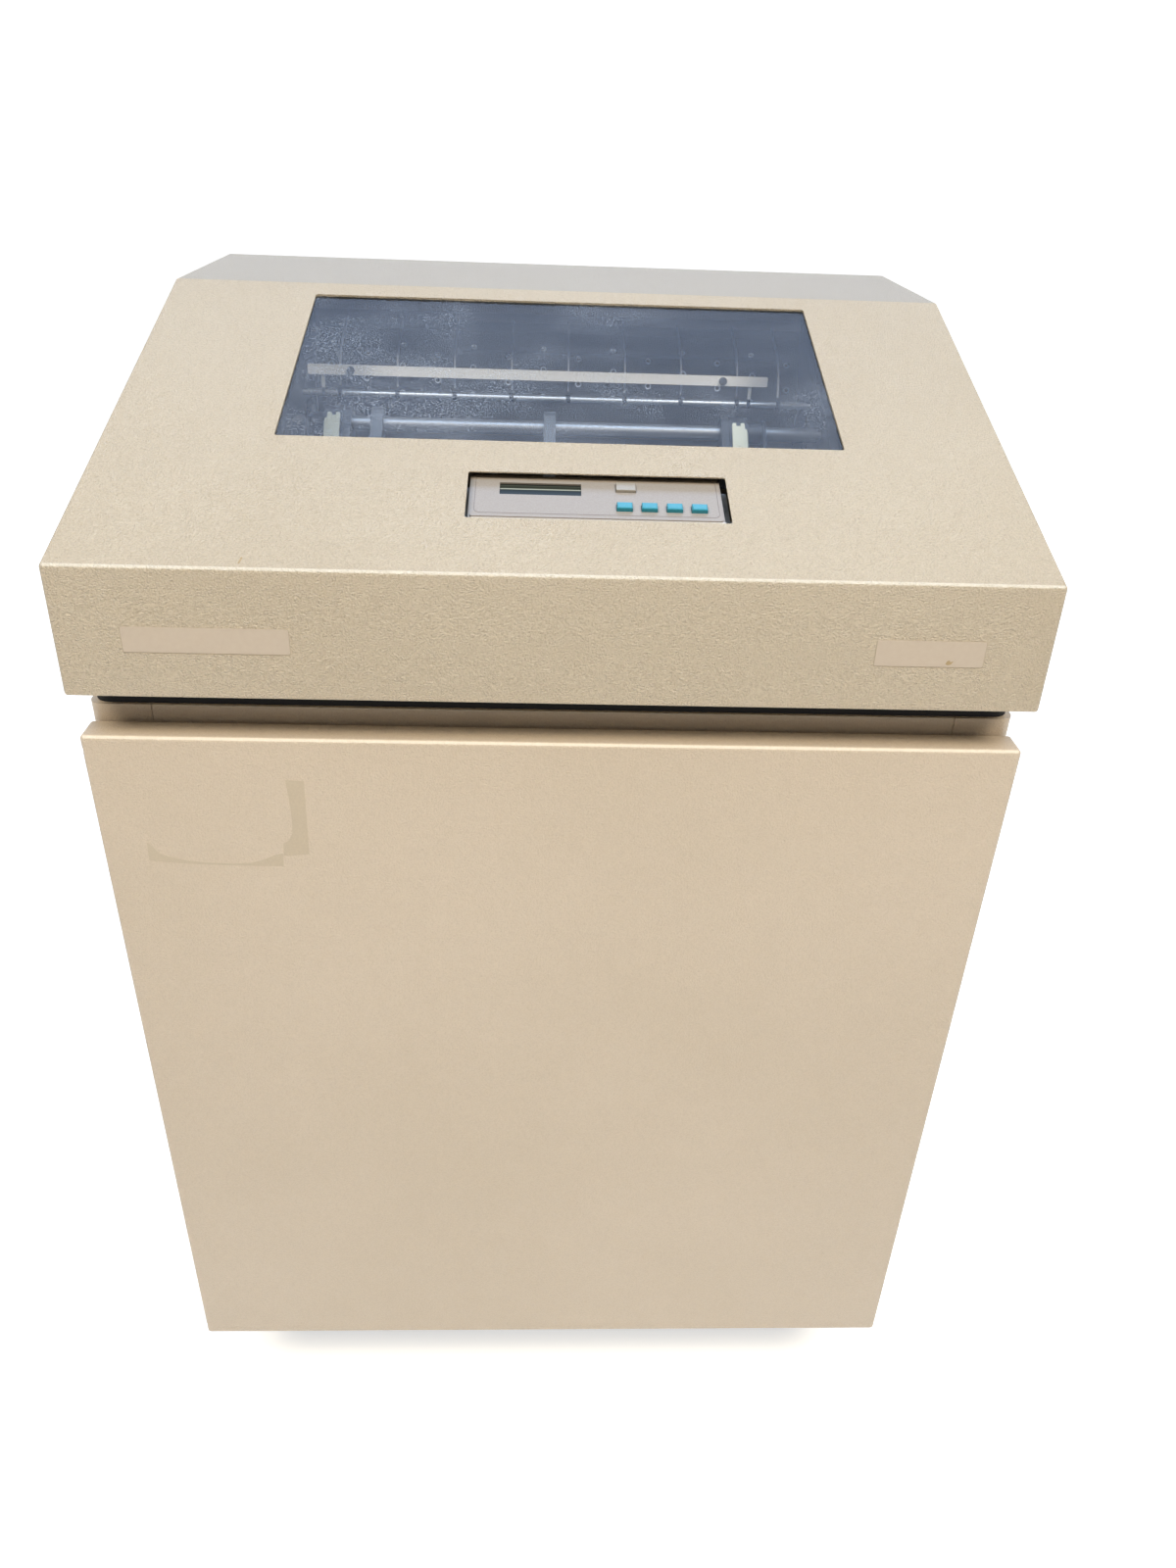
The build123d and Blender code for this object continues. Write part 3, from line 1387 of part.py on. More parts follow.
# Card cage under the deck on the right, open to the rear, with its circuit boards
cage_x = 288.0
cage_front_y = 40.0
cage_rear_y = 300.0
cage_low_z = 560.0
cage_high_z = 774.0
cage_width = 102.0
board_count = 5
board_pitch = 17.0
board_thickness = 1.6
with BuildPart() as card_cage:
    with BuildSketch(Plane.XZ.offset(-cage_rear_y)):
        with Locations((cage_x, (cage_low_z + cage_high_z) / 2)):
            Rectangle(cage_width, cage_high_z - cage_low_z)
            Rectangle(
                cage_width - 2 * sheet, cage_high_z - cage_low_z - 2 * sheet, mode=Mode.SUBTRACT
            )
    extrude(amount=cage_rear_y - cage_front_y)
    with BuildSketch(Plane.XZ.offset(-cage_front_y)):
        with Locations((cage_x, (cage_low_z + cage_high_z) / 2)):
            Rectangle(cage_width, cage_high_z - cage_low_z)
    extrude(amount=-sheet)
    for i in range(board_count):
        with BuildSketch(Plane.YZ.offset(cage_x + board_pitch * (i - (board_count - 1) / 2))):
            with Locations(((cage_front_y + cage_rear_y) / 2, (cage_low_z + cage_high_z) / 2)):
                Rectangle(cage_rear_y - cage_front_y - 20, cage_high_z - cage_low_z - 2)
        extrude(amount=board_thickness)
save(card_cage, "card_cage")

# Wire basket on the cabinet floor at the back, where the printed paper folds down
basket_half_width = 222.0
basket_front_y = 60.0
basket_rear_y = 300.0
basket_z = 150.0
wire = 1.8
wire_count = 9
cross_wire_y = 180.0
with BuildPart() as basket:
    for i in range(wire_count):
        x = -basket_half_width + 2 * basket_half_width * i / (wire_count - 1)
        with BuildSketch(Plane.XZ.offset(-basket_rear_y)):
            with Locations((x, basket_z)):
                Rectangle(2 * wire, 2 * wire, rotation=45)
        extrude(amount=basket_rear_y - basket_front_y)
        with BuildSketch(Plane.XY.offset(floor_z)):
            with Locations((x, basket_front_y + wire), (x, basket_rear_y - wire)):
                Rectangle(2 * wire, 2 * wire)
        extrude(amount=basket_z - floor_z)
    for y in (basket_front_y + wire, cross_wire_y, basket_rear_y - wire):
        with BuildSketch(Plane.YZ):
            with Locations((y, basket_z - wire)):
                Rectangle(2 * wire, 2 * wire, rotation=45)
        extrude(amount=basket_half_width + wire, both=True)
save(basket, "stacker_basket")

# Casters: a swivelling fork on a stem, and a wheel on the fork's axle bolt
fork_top_z = caster_plate_z - 0.4
cheek_gap = 1.2
for x_side, y_side, place in (
    (-1, -1, "front_left"), (1, -1, "front_right"), (-1, 1, "rear_left"), (1, 1, "rear_right"),
):
    cx = x_side * caster_x
    cy = y_side * caster_y
    axle_y = cy + caster_trail
    with BuildPart() as fork:
        with BuildSketch(Plane.XY.offset(fork_top_z - 8)):
            with Locations((cx, cy)):
                Circle(25)
        extrude(amount=8)
        with BuildSketch(Plane.XY.offset(fork_top_z)):
            with Locations((cx, cy)):
                Circle(stem_radius)
        extrude(amount=12)
        for side in (-1, 1):
            with BuildSketch(Plane.YZ.offset(cx + side * (wheel_width / 2 + cheek_gap))):
                with BuildLine():
                    Polyline(
                        (cy - 19, fork_top_z - 4), (cy + 19, fork_top_z - 4),
                        (axle_y + 10, wheel_radius), (axle_y - 10, wheel_radius),
                        close=True,
                    )
                make_face()
                with Locations((axle_y, wheel_radius)):
                    Circle(10)
            extrude(amount=side * 3)
        with BuildSketch(Plane.YZ.offset(cx)):
            with Locations((axle_y, wheel_radius)):
                Circle(axle_radius)
        extrude(amount=wheel_width / 2 + cheek_gap + 6, both=True)
    save(fork, f"caster_fork_{place}")

    with BuildPart() as wheel:
        with BuildSketch(Plane.XY.offset(wheel_radius)):
            with BuildLine():
                Polyline(
                    (cx - 12, axle_y + axle_radius + running_gap), (cx - 12, axle_y + 12),
                    (cx - 8, axle_y + 14), (cx - 8, axle_y + 27), (cx - 11, axle_y + 29),
                    (cx - 11, axle_y + 33.5), (cx - 6.5, axle_y + wheel_radius),
                    (cx + 6.5, axle_y + wheel_radius), (cx + 11, axle_y + 33.5),
                    (cx + 11, axle_y + 29), (cx + 8, axle_y + 27), (cx + 8, axle_y + 14),
                    (cx + 12, axle_y + 12), (cx + 12, axle_y + axle_radius + running_gap),
                    close=True,
                )
            make_face()
        revolve(axis=Axis((cx, axle_y, wheel_radius), (1, 0, 0)))
    save(wheel, f"caster_wheel_{place}")
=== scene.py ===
# Line printer in a quiet cabinet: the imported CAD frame, dressed and lit.
import bpy
import math
import numpy as np
from mathutils import Matrix, Vector


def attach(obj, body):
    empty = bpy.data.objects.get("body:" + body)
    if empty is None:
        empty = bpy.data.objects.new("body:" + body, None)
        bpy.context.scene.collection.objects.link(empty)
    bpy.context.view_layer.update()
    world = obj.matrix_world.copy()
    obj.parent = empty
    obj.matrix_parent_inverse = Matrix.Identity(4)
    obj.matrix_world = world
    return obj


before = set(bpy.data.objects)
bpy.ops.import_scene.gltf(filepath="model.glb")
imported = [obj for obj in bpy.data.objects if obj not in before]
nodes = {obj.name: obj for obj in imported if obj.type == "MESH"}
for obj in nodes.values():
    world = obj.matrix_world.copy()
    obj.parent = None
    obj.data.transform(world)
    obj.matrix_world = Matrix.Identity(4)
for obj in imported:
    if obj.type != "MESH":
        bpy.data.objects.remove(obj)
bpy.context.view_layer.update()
print("stage 1: frame loaded,", len(nodes), "nodes")

mm = 0.001
objectCoords = 3    # the texture coordinate node's Object output
dustAndShadeNormal = (0.965, 0.99)    # the face normal's z where the grey film of dust and painted shade starts and is full
# the same for the painted highlight on rounded edges, along the direction half way from front to
# top
edgeHighlightNormal = (0.925, 0.965)
sharpEdgeDegrees = 28    # faces that meet at more than this stay sharp
roundedEdgeDegrees = 40    # edges sharper than this take a small round
photoHeightPixels = 1600
sensorHeightMm = 36.0
# the hood's profile as (y, z) in millimetres: front foot, fold into the slope, top of the slope
frontFootMm, slopeFoldMm, slopeTopMm = (-368.5, 849.0), (-365.5, 942.0), (23.5, 1067.0)
slopeTilt = math.atan2(slopeTopMm[1] - slopeFoldMm[1], slopeTopMm[0] - slopeFoldMm[0])
frontTilt = math.atan2(slopeFoldMm[1] - frontFootMm[1], slopeFoldMm[0] - frontFootMm[0])


# ---- colour and node helpers
def hexToLinear(text):
    # each sRGB channel c: c/12.92 below 0.04045, else ((c + 0.055)/1.055) to the power 2.4
    srgb = [int(text[i:i + 2], 16) / 255 for i in (1, 3, 5)]
    return [c / 12.92 if c <= 0.04045 else ((c + 0.055) / 1.055) ** 2.4 for c in srgb] + [1.0]


def addNode(tree, kind, settings=None, links=None):
    # one node: settings are attributes or input values, links are input name -> (node, output)
    node = tree.nodes.new(kind)
    for key, value in (settings or {}).items():
        if isinstance(key, int) or key in node.inputs:
            node.inputs[key].default_value = value
        else:
            setattr(node, key, value)
    for key, (source, output) in (links or {}).items():
        tree.links.new(source.outputs[output], node.inputs[key])
    return node


def newMaterial(name):
    material = bpy.data.materials.new(name)
    material.use_nodes = True
    tree = material.node_tree
    tree.nodes.clear()
    return material, tree


def finishMaterial(tree, shader):
    addNode(tree, "ShaderNodeOutputMaterial", {}, {"Surface": (shader, 0)})


def grainBump(tree, coords, sizes, strengths, distance):
    # bumps stacked from coarse to fine: each size is the width of one grain in metres
    previous = None
    for size, strength in zip(sizes, strengths):
        noise = addNode(tree, "ShaderNodeTexNoise",
                        {"Scale": 1.0 / size, "Detail": 2.0, "Roughness": 0.5},
                        {"Vector": (coords, objectCoords)})
        links = {"Height": (noise, 0)}
        if previous:
            links["Normal"] = (previous, 0)
        previous = addNode(tree, "ShaderNodeBump", {"Strength": strength, "Distance": distance},
                           links)
    return previous


def rampBetween(tree, source, output, low, high, colours):
    # a colour ramp from low to high
    ramp = addNode(tree, "ShaderNodeValToRGB", {}, {"Fac": (source, output)})
    ramp.color_ramp.elements[0].position = low
    ramp.color_ramp.elements[0].color = colours[0]
    ramp.color_ramp.elements[1].position = high
    ramp.color_ramp.elements[1].color = colours[1]
    return ramp


# ---- materials
hoodPaint = {
    # the grain's pits take painted shade and its crests a painted highlight
    "tone": "#cabaa0", "shade": "#c4b398", "pitShade": "#aa9a80", "crestHighlight": "#d8cab2", "contrast": 0.45,
    "grainMm": 1.35, "fineMm": 0.8, "grainDepthMm": 0.15, "roughness": 0.28, "film": "#8d8a86",
    # level faces take a grey film, partly dust and partly painted shade
    "dustAndShadeShare": 0.62,
    # rounded front-to-top edges take a pale painted highlight
    "edgeHighlight": "#f2ead9", "edgeHighlightShare": 0.65,
}
cabinetPaint = {
    # the grain's pits take painted shade and its crests a painted highlight
    "tone": "#d4c3ad", "shade": "#cebda6", "pitShade": "#bdac95", "crestHighlight": "#dbccb7", "contrast": 0.3,
    "grainMm": 1.35, "fineMm": 0.8, "grainDepthMm": 0.07, "roughness": 0.40, "film": "#8d8a86",
    # level faces take a grey film, partly dust and partly painted shade
    "dustAndShadeShare": 0.2,
    # rounded front-to-top edges take a pale painted highlight
    "edgeHighlight": "#f2ead9", "edgeHighlightShare": 0.65,
}


def makeTexturedPaint(name, look):
    # beige polyurethane paint with an orange-peel texture: soft highlights in small grains
    # colour = shade to tone by a broad noise, darker in the grain's pits as painted shade, paler on
    # its crests as painted highlight
    material, tree = newMaterial(name)
    coords = addNode(tree, "ShaderNodeTexCoord")
    broad = addNode(tree, "ShaderNodeTexNoise", {"Scale": 3.2, "Detail": 4.0, "Roughness": 0.6},
                    {"Vector": (coords, objectCoords)})
    tone = rampBetween(tree, broad, 0, 0.35, 0.68,
                       (hexToLinear(look["shade"]), hexToLinear(look["tone"])))
    grain = addNode(tree, "ShaderNodeTexNoise",
                    {"Scale": 1 / (look["grainMm"] * mm), "Detail": 2.0, "Roughness": 0.6},
                    {"Vector": (coords, objectCoords)})
    most = (look["contrast"], look["contrast"], look["contrast"], 1)
    # painted shade in the grain's pits, painted highlight on its crests
    pitShadeMask = rampBetween(tree, grain, 0, 0.34, 0.50, (most, (0, 0, 0, 1)))
    crestHighlightMask = rampBetween(tree, grain, 0, 0.53, 0.68, ((0, 0, 0, 1), most))
    pitShaded = addNode(tree, "ShaderNodeMix", {"data_type": "RGBA", 7: hexToLinear(look["pitShade"])},
                     {0: (pitShadeMask, 0), 6: (tone, 0)})
    mixed = addNode(tree, "ShaderNodeMix", {"data_type": "RGBA", 7: hexToLinear(look["crestHighlight"])},
                    {0: (crestHighlightMask, 0), 6: (pitShaded, 2)})
    # a grey film on level faces alone, partly dust and partly painted shade on the top face: its
    # share rises with the face normal's z
    facing = addNode(tree, "ShaderNodeNewGeometry")
    upward = addNode(tree, "ShaderNodeSeparateXYZ", {}, {0: (facing, "Normal")})
    film = addNode(tree, "ShaderNodeMapRange",
                   {1: dustAndShadeNormal[0], 2: dustAndShadeNormal[1], 3: 0.0, 4: look["dustAndShadeShare"]},
                   {0: (upward, 2)})
    dustedAndShaded = addNode(tree, "ShaderNodeMix", {"data_type": "RGBA", 7: hexToLinear(look["film"])},
                     {0: (film, 0), 6: (mixed, 2)})
    # painted highlight: edges rounded between a front and a top face are painted pale, by their
    # normal
    edgeward = addNode(tree, "ShaderNodeVectorMath",
                       {"operation": "DOT_PRODUCT", 1: (0.0, -0.7071, 0.7071)},
                       {0: (facing, "Normal")})
    edgeHighlight = addNode(tree, "ShaderNodeMapRange",
                  {1: edgeHighlightNormal[0], 2: edgeHighlightNormal[1], 3: 0.0, 4: look["edgeHighlightShare"]},
                  {0: (edgeward, "Value")})
    edgeHighlighted = addNode(tree, "ShaderNodeMix", {"data_type": "RGBA", 7: hexToLinear(look["edgeHighlight"])},
                     {0: (edgeHighlight, 0), 6: (dustedAndShaded, 2)})
    bump = grainBump(tree, coords, (look["grainMm"] * mm, look["fineMm"] * mm), (1.0, 0.6),
                     look["grainDepthMm"] * mm * 10)
    shader = addNode(tree, "ShaderNodeBsdfPrincipled",
                     {"Roughness": look["roughness"], "IOR": 1.62},
                     {"Base Color": (edgeHighlighted, 2), "Normal": (bump, 0)})
    finishMaterial(tree, shader)
    return material


def makePlain(name, look):
    # a moulded or coated surface: base colour broken by a fine mottle, with a matching roughness
    material, tree = newMaterial(name)
    coords = addNode(tree, "ShaderNodeTexCoord")
    mottle = addNode(tree, "ShaderNodeTexNoise",
                     {"Scale": 1 / (look["grainMm"] * mm), "Detail": 3.0},
                     {"Vector": (coords, objectCoords)})
    tone = rampBetween(tree, mottle, 0, 0.3, 0.7,
                       (hexToLinear(look["shade"]), hexToLinear(look["tone"])))
    bump = grainBump(tree, coords, (look["grainMm"] * mm,), (look["bump"],), 0.0002)
    shader = addNode(tree, "ShaderNodeBsdfPrincipled",
                     {"Roughness": look["roughness"], "Metallic": look["metal"], "IOR": 1.5},
                     {"Base Color": (tone, 0), "Normal": (bump, 0)})
    finishMaterial(tree, shader)
    return material


def makeClear(name, look):
    # a clear or tinted sheet that carries dust and wiping haze
    # cover = haze share by a broad stretched noise + dust share by a fine one x a patch mask
    # sheet = tint to dust colour by the cover, then to gloss by Fresnel x the mirror share
    material, tree = newMaterial(name)
    coords = addNode(tree, "ShaderNodeTexCoord")
    stretch = addNode(tree, "ShaderNodeMapping", {"Scale": look["streak"]},
                      {"Vector": (coords, objectCoords)})
    haze = addNode(tree, "ShaderNodeTexNoise",
                   {"Scale": look["hazeScale"], "Detail": 6.0, "Roughness": 0.65},
                   {"Vector": (stretch, 0)})
    hazeShare = addNode(tree, "ShaderNodeMapRange",
                        {1: 0.35, 2: 0.72, 3: look["hazeLow"], 4: look["hazeHigh"]}, {0: (haze, 0)})
    dust = addNode(tree, "ShaderNodeTexNoise", {"Scale": 1 / (look["dustMm"] * mm), "Detail": 1.0},
                   {"Vector": (coords, objectCoords)})
    dustShare = addNode(tree, "ShaderNodeMapRange", {1: 0.58, 2: 0.66, 3: 0.0, 4: look["dustHigh"]},
                        {0: (dust, 0)})
    patches = addNode(tree, "ShaderNodeTexNoise", {"Scale": 9.0, "Detail": 3.0},
                      {"Vector": (coords, objectCoords)})
    patchShare = addNode(tree, "ShaderNodeMapRange", {1: 0.45, 2: 0.62, 3: 0.15, 4: 1.0},
                         {0: (patches, 0)})
    specks = addNode(tree, "ShaderNodeMath", {"operation": "MULTIPLY"},
                     {0: (dustShare, 0), 1: (patchShare, 0)})
    cover = addNode(tree, "ShaderNodeMath", {"operation": "ADD", "use_clamp": True},
                    {0: (hazeShare, 0), 1: (specks, 0)})
    through = addNode(tree, "ShaderNodeBsdfTransparent", {"Color": hexToLinear(look["tint"])})
    film = addNode(tree, "ShaderNodeBsdfDiffuse", {"Color": hexToLinear(look["dust"])})
    clouded = addNode(tree, "ShaderNodeMixShader", {},
                      {0: (cover, 0), 1: (through, 0), 2: (film, 0)})
    gloss = addNode(tree, "ShaderNodeBsdfGlossy",
                    {"Roughness": look["roughness"], "Color": hexToLinear(look["mirror"])})
    # the mirror share is a part of Fresnel's where light enters the sheet, none where it leaves
    fresnel = addNode(tree, "ShaderNodeFresnel", {"IOR": 1.49})
    side = addNode(tree, "ShaderNodeNewGeometry")
    share = look["mirrorShare"]
    entering = addNode(tree, "ShaderNodeMath", {"operation": "MULTIPLY_ADD", 1: -share, 2: share},
                       {0: (side, "Backfacing")})
    mirrorShare = addNode(tree, "ShaderNodeMath", {"operation": "MULTIPLY"},
                          {0: (fresnel, 0), 1: (entering, 0)})
    sheet = addNode(tree, "ShaderNodeMixShader", {},
                    {0: (mirrorShare, 0), 1: (clouded, 0), 2: (gloss, 0)})
    finishMaterial(tree, sheet)
    return material


def coat(tone, shade, grainMm=1.5, bump=0.2, roughness=0.5, metal=0.0):
    return {"tone": tone, "shade": shade, "grainMm": grainMm, "bump": bump, "roughness": roughness,
            "metal": metal}


hoodBeige = makeTexturedPaint("hoodPolyurethaneTextured", hoodPaint)
cabinetBeige = makeTexturedPaint("cabinetPolyurethaneTextured", cabinetPaint)
finishes = {
    # passivated zinc, cloudy spangle
    "zincPlatedSteel": coat("#b9bbb8", "#9b9d9c", 6.0, 0.1, 0.38, 0.9),
    # blasted casting, dull grey
    "sandCastAluminium": coat("#5a5d60", "#4a4d50", 1.2, 0.5, 0.55, 0.6),
    # centreless ground, bright streak
    "groundSteelRod": coat("#e2e3e3", "#d4d6d7", 3.0, 0.03, 0.30, 0.9),
    # drawn bar, greyer and broader in its streak
    "dullSteelShaft": coat("#9b9a98", "#7f8083", 2.0, 0.05, 0.38, 0.8),
    # pale pressed rib
    "paleCastRib": coat("#dadde2", "#cdd0d6", 2.0, 0.1, 0.45),
    # baked black paint
    "blackStoveEnamel": coat("#1c1d1e", "#151617", 1.5, 0.3, 0.45),
    # moulded, slightly frosted
    "blackGlassFilledNylon": coat("#26282b", "#1d1f22", 0.8, 0.3, 0.5),
    # moulded acetal, waxy
    "creamAcetal": coat("#cfcdb4", "#c2bfa4", 2.0, 0.05, 0.35),
    # enamelled strip
    "whiteEnamelScale": coat("#ffffff", "#fbfaf6", 2.0, 0.02, 0.35),
    # closed-cell foam
    "foamRubberBlack": coat("#0e0e0f", "#09090a", 1.0, 0.6, 0.9),
    # open-cell acoustic foam
    "foamPolyetherGrey": coat("#3a3c3f", "#2c2e30", 3.0, 0.8, 0.95),
    # satin moulded ABS
    "panelAbsGrey": coat("#a0978c", "#978d82", 1.2, 0.1, 0.38),
    # satin grey key cap
    "keyAbsGrey": coat("#a39c90", "#999184", 1.0, 0.08, 0.35),
    # glossy teal key cap
    "keyAbsTeal": coat("#2f95a8", "#28899c", 1.0, 0.05, 0.28),
    # woven and inked, matt black
    "inkedNylonRibbon": coat("#101014", "#0a0a0d", 0.5, 0.5, 0.8),
    # bright zinc, lightly scuffed
    "casterZincSteel": coat("#b4b6b5", "#999b9b", 4.0, 0.1, 0.35, 0.9),
    # solid dark tread
    "casterRubberGrey": coat("#3a3a3a", "#2e2e2e", 1.5, 0.3, 0.7),
    # galvanised sheet with a broad mottle
    "circuitBoxSteel": coat("#a9aba9", "#8d8f8e", 5.0, 0.1, 0.42, 0.8),
    # printed film, bare, smoother than the paint
    "labelVinylMatt": coat("#c5b6a3", "#c2b29f", 4.0, 0.02, 0.34),
    # dull nickel screw head
    "screwNickel": coat("#85888c", "#777a7e", 1.5, 0.05, 0.3, 0.4),
    # thin film of old glue, a shade darker
    "adhesiveStain": coat("#c8b89f", "#c2b29a", 1.6, 0.35, 0.32),
    # rubbed-on stain
    "ochreScuff": coat("#b39c74", "#a58e68", 1.2, 0.1, 0.5),
    # painted highlight of the panel's rounded lip
    "panelBeadHighlightGrey": coat("#cbc6c0", "#c2bcb6", 2.0, 0.0, 0.3),
    # cut edge of the label film
    "filmEdgeTan": coat("#b5a58d", "#ab9b83", 2.0, 0.0, 0.4),
    # shadowed moulding line
    "panelLineGrey": coat("#857b73", "#7b7169", 2.0, 0.0, 0.4),
    # polished bore, mirrors the room
    "drilledAcrylicEdge": coat("#ffffff", "#f6f8fa", 1.0, 0.0, 0.28, 1.0),
    # moulded tractor frame, near black
    "blackFrameNylon": coat("#141517", "#0e0f10", 0.8, 0.2, 0.45),
}
plain = {name: makePlain(name, values) for name, values in finishes.items()}


def makeDisplay(name, look):
    # a liquid crystal display behind dark acrylic: bands across it by s, the distance up the slope
    # s = y cos(slopeTilt) + z sin(slopeTilt), taken from the lower edge of the glass
    material, tree = newMaterial(name)
    coords = addNode(tree, "ShaderNodeTexCoord")
    upSlope = addNode(tree, "ShaderNodeVectorMath",
                      {"operation": "DOT_PRODUCT", 1: (0.0, math.cos(slopeTilt),
                                                       math.sin(slopeTilt))},
                      {0: (coords, 3)})
    foldPlace = slopeFoldMm[0] * math.cos(slopeTilt) + slopeFoldMm[1] * math.sin(slopeTilt)
    low = (foldPlace + look["lowMm"]) * mm
    share = addNode(tree, "ShaderNodeMapRange",
                    {1: low, 2: low + look["highMm"] * mm, 3: 0.0, 4: 1.0}, {0: (upSlope, "Value")})
    ramp = addNode(tree, "ShaderNodeValToRGB", {}, {0: (share, 0)})
    for place, colour in look["bands"]:
        stop = ramp.color_ramp.elements.new(place)
        stop.color = hexToLinear(colour)
    ramp.color_ramp.elements.remove(ramp.color_ramp.elements[0])
    ramp.color_ramp.elements.remove(ramp.color_ramp.elements[-1])
    shader = addNode(tree, "ShaderNodeBsdfPrincipled",
                     {"Roughness": 0.3, "Specular IOR Level": 0.18},
                     {"Base Color": (ramp, 0)})
    finishMaterial(tree, shader)
    return material


def makeClip(name, look):
    # black moulded foot below, bright bare steel post above: the colour changes at one height z
    material, tree = newMaterial(name)
    coords = addNode(tree, "ShaderNodeTexCoord")
    height = addNode(tree, "ShaderNodeSeparateXYZ", {}, {0: (coords, 3)})
    upper = addNode(tree, "ShaderNodeMapRange",
                    {1: look["splitMm"] * mm, 2: (look["splitMm"] + 0.5) * mm}, {0: (height, 2)})
    tone = addNode(tree, "ShaderNodeMix",
                   {"data_type": "RGBA", 6: hexToLinear(look["foot"]),
                    7: hexToLinear(look["post"])},
                   {0: (upper, 0)})
    shader = addNode(tree, "ShaderNodeBsdfPrincipled", {"Roughness": 0.4, "IOR": 1.5},
                     {"Base Color": (tone, 2)})
    finishMaterial(tree, shader)
    return material


clipNylonSteel = makeClip("clipNylonAndSteelPost",
                          {"splitMm": 972.0, "foot": "#1d1f22", "post": "#d4d5d2"})
displayGlass = makeDisplay("liquidCrystalDisplay", {
    "lowMm": 101.65, "highMm": 14.7,
    "bands": ((0.01, "#1e2a2c"), (0.44, "#1b2527"), (0.52, "#2a3230"), (0.55, "#a3a79b"),
              (0.60, "#a3a79b"),
              (0.63, "#33372f"), (0.80, "#2c3029"), (0.86, "#4a4d44"), (0.90, "#1c1e1a"),
              (0.99, "#151713")),
})
tintedAcrylic = makeClear("tintedAcrylicWindow", {
    "streak": (0.6, 3.0, 3.0), "hazeScale": 6.0, "hazeLow": 0.0, "hazeHigh": 0.07, "dustMm": 1.0,
    "dustHigh": 0.7,
    "tint": "#fbfcfd", "dust": "#a9aeb5", "mirror": "#c2c4c8", "mirrorShare": 0.5,
    "roughness": 0.12,
})
clearPolycarbonate = makeClear("clearPolycarbonateShield", {
    "streak": (0.5, 2.0, 2.0), "hazeScale": 9.0, "hazeLow": 0.01, "hazeHigh": 0.05, "dustMm": 1.6,
    "dustHigh": 0.15,
    "tint": "#fafbfc", "dust": "#c0c6ce", "mirror": "#dde0e4", "mirrorShare": 0.7,
    "roughness": 0.05,
})
print("stage 2: materials made")


# ---- CAD nodes keep their shape and take a finish and small edge rounds
def makeEdgeGroup():
    # joins the loose triangles, then shades smooth except where two faces meet at more than 28
    # degrees
    group = bpy.data.node_groups.new("joinAndSmooth", "GeometryNodeTree")
    group.interface.new_socket(name="Geometry", in_out="INPUT", socket_type="NodeSocketGeometry")
    group.interface.new_socket(name="Geometry", in_out="OUTPUT", socket_type="NodeSocketGeometry")
    start = addNode(group, "NodeGroupInput")
    joined = addNode(group, "GeometryNodeMergeByDistance", {"Distance": 0.00001},
                     {"Geometry": (start, 0)})
    smooth = addNode(group, "GeometryNodeSetShadeSmooth", {"domain": "FACE", "Shade Smooth": True},
                     {"Geometry": (joined, 0)})
    angle = addNode(group, "GeometryNodeInputMeshEdgeAngle")
    wide = addNode(group, "FunctionNodeCompare",
                   {"data_type": "FLOAT", "operation": "GREATER_THAN",
                    1: math.radians(sharpEdgeDegrees)},
                   {0: (angle, 0)})
    sharp = addNode(group, "GeometryNodeSetShadeSmooth", {"domain": "EDGE", "Shade Smooth": False},
                    {"Geometry": (smooth, 0), "Selection": (wide, 0)})
    addNode(group, "NodeGroupOutput", {}, {"Geometry": (sharp, 0)})
    return group


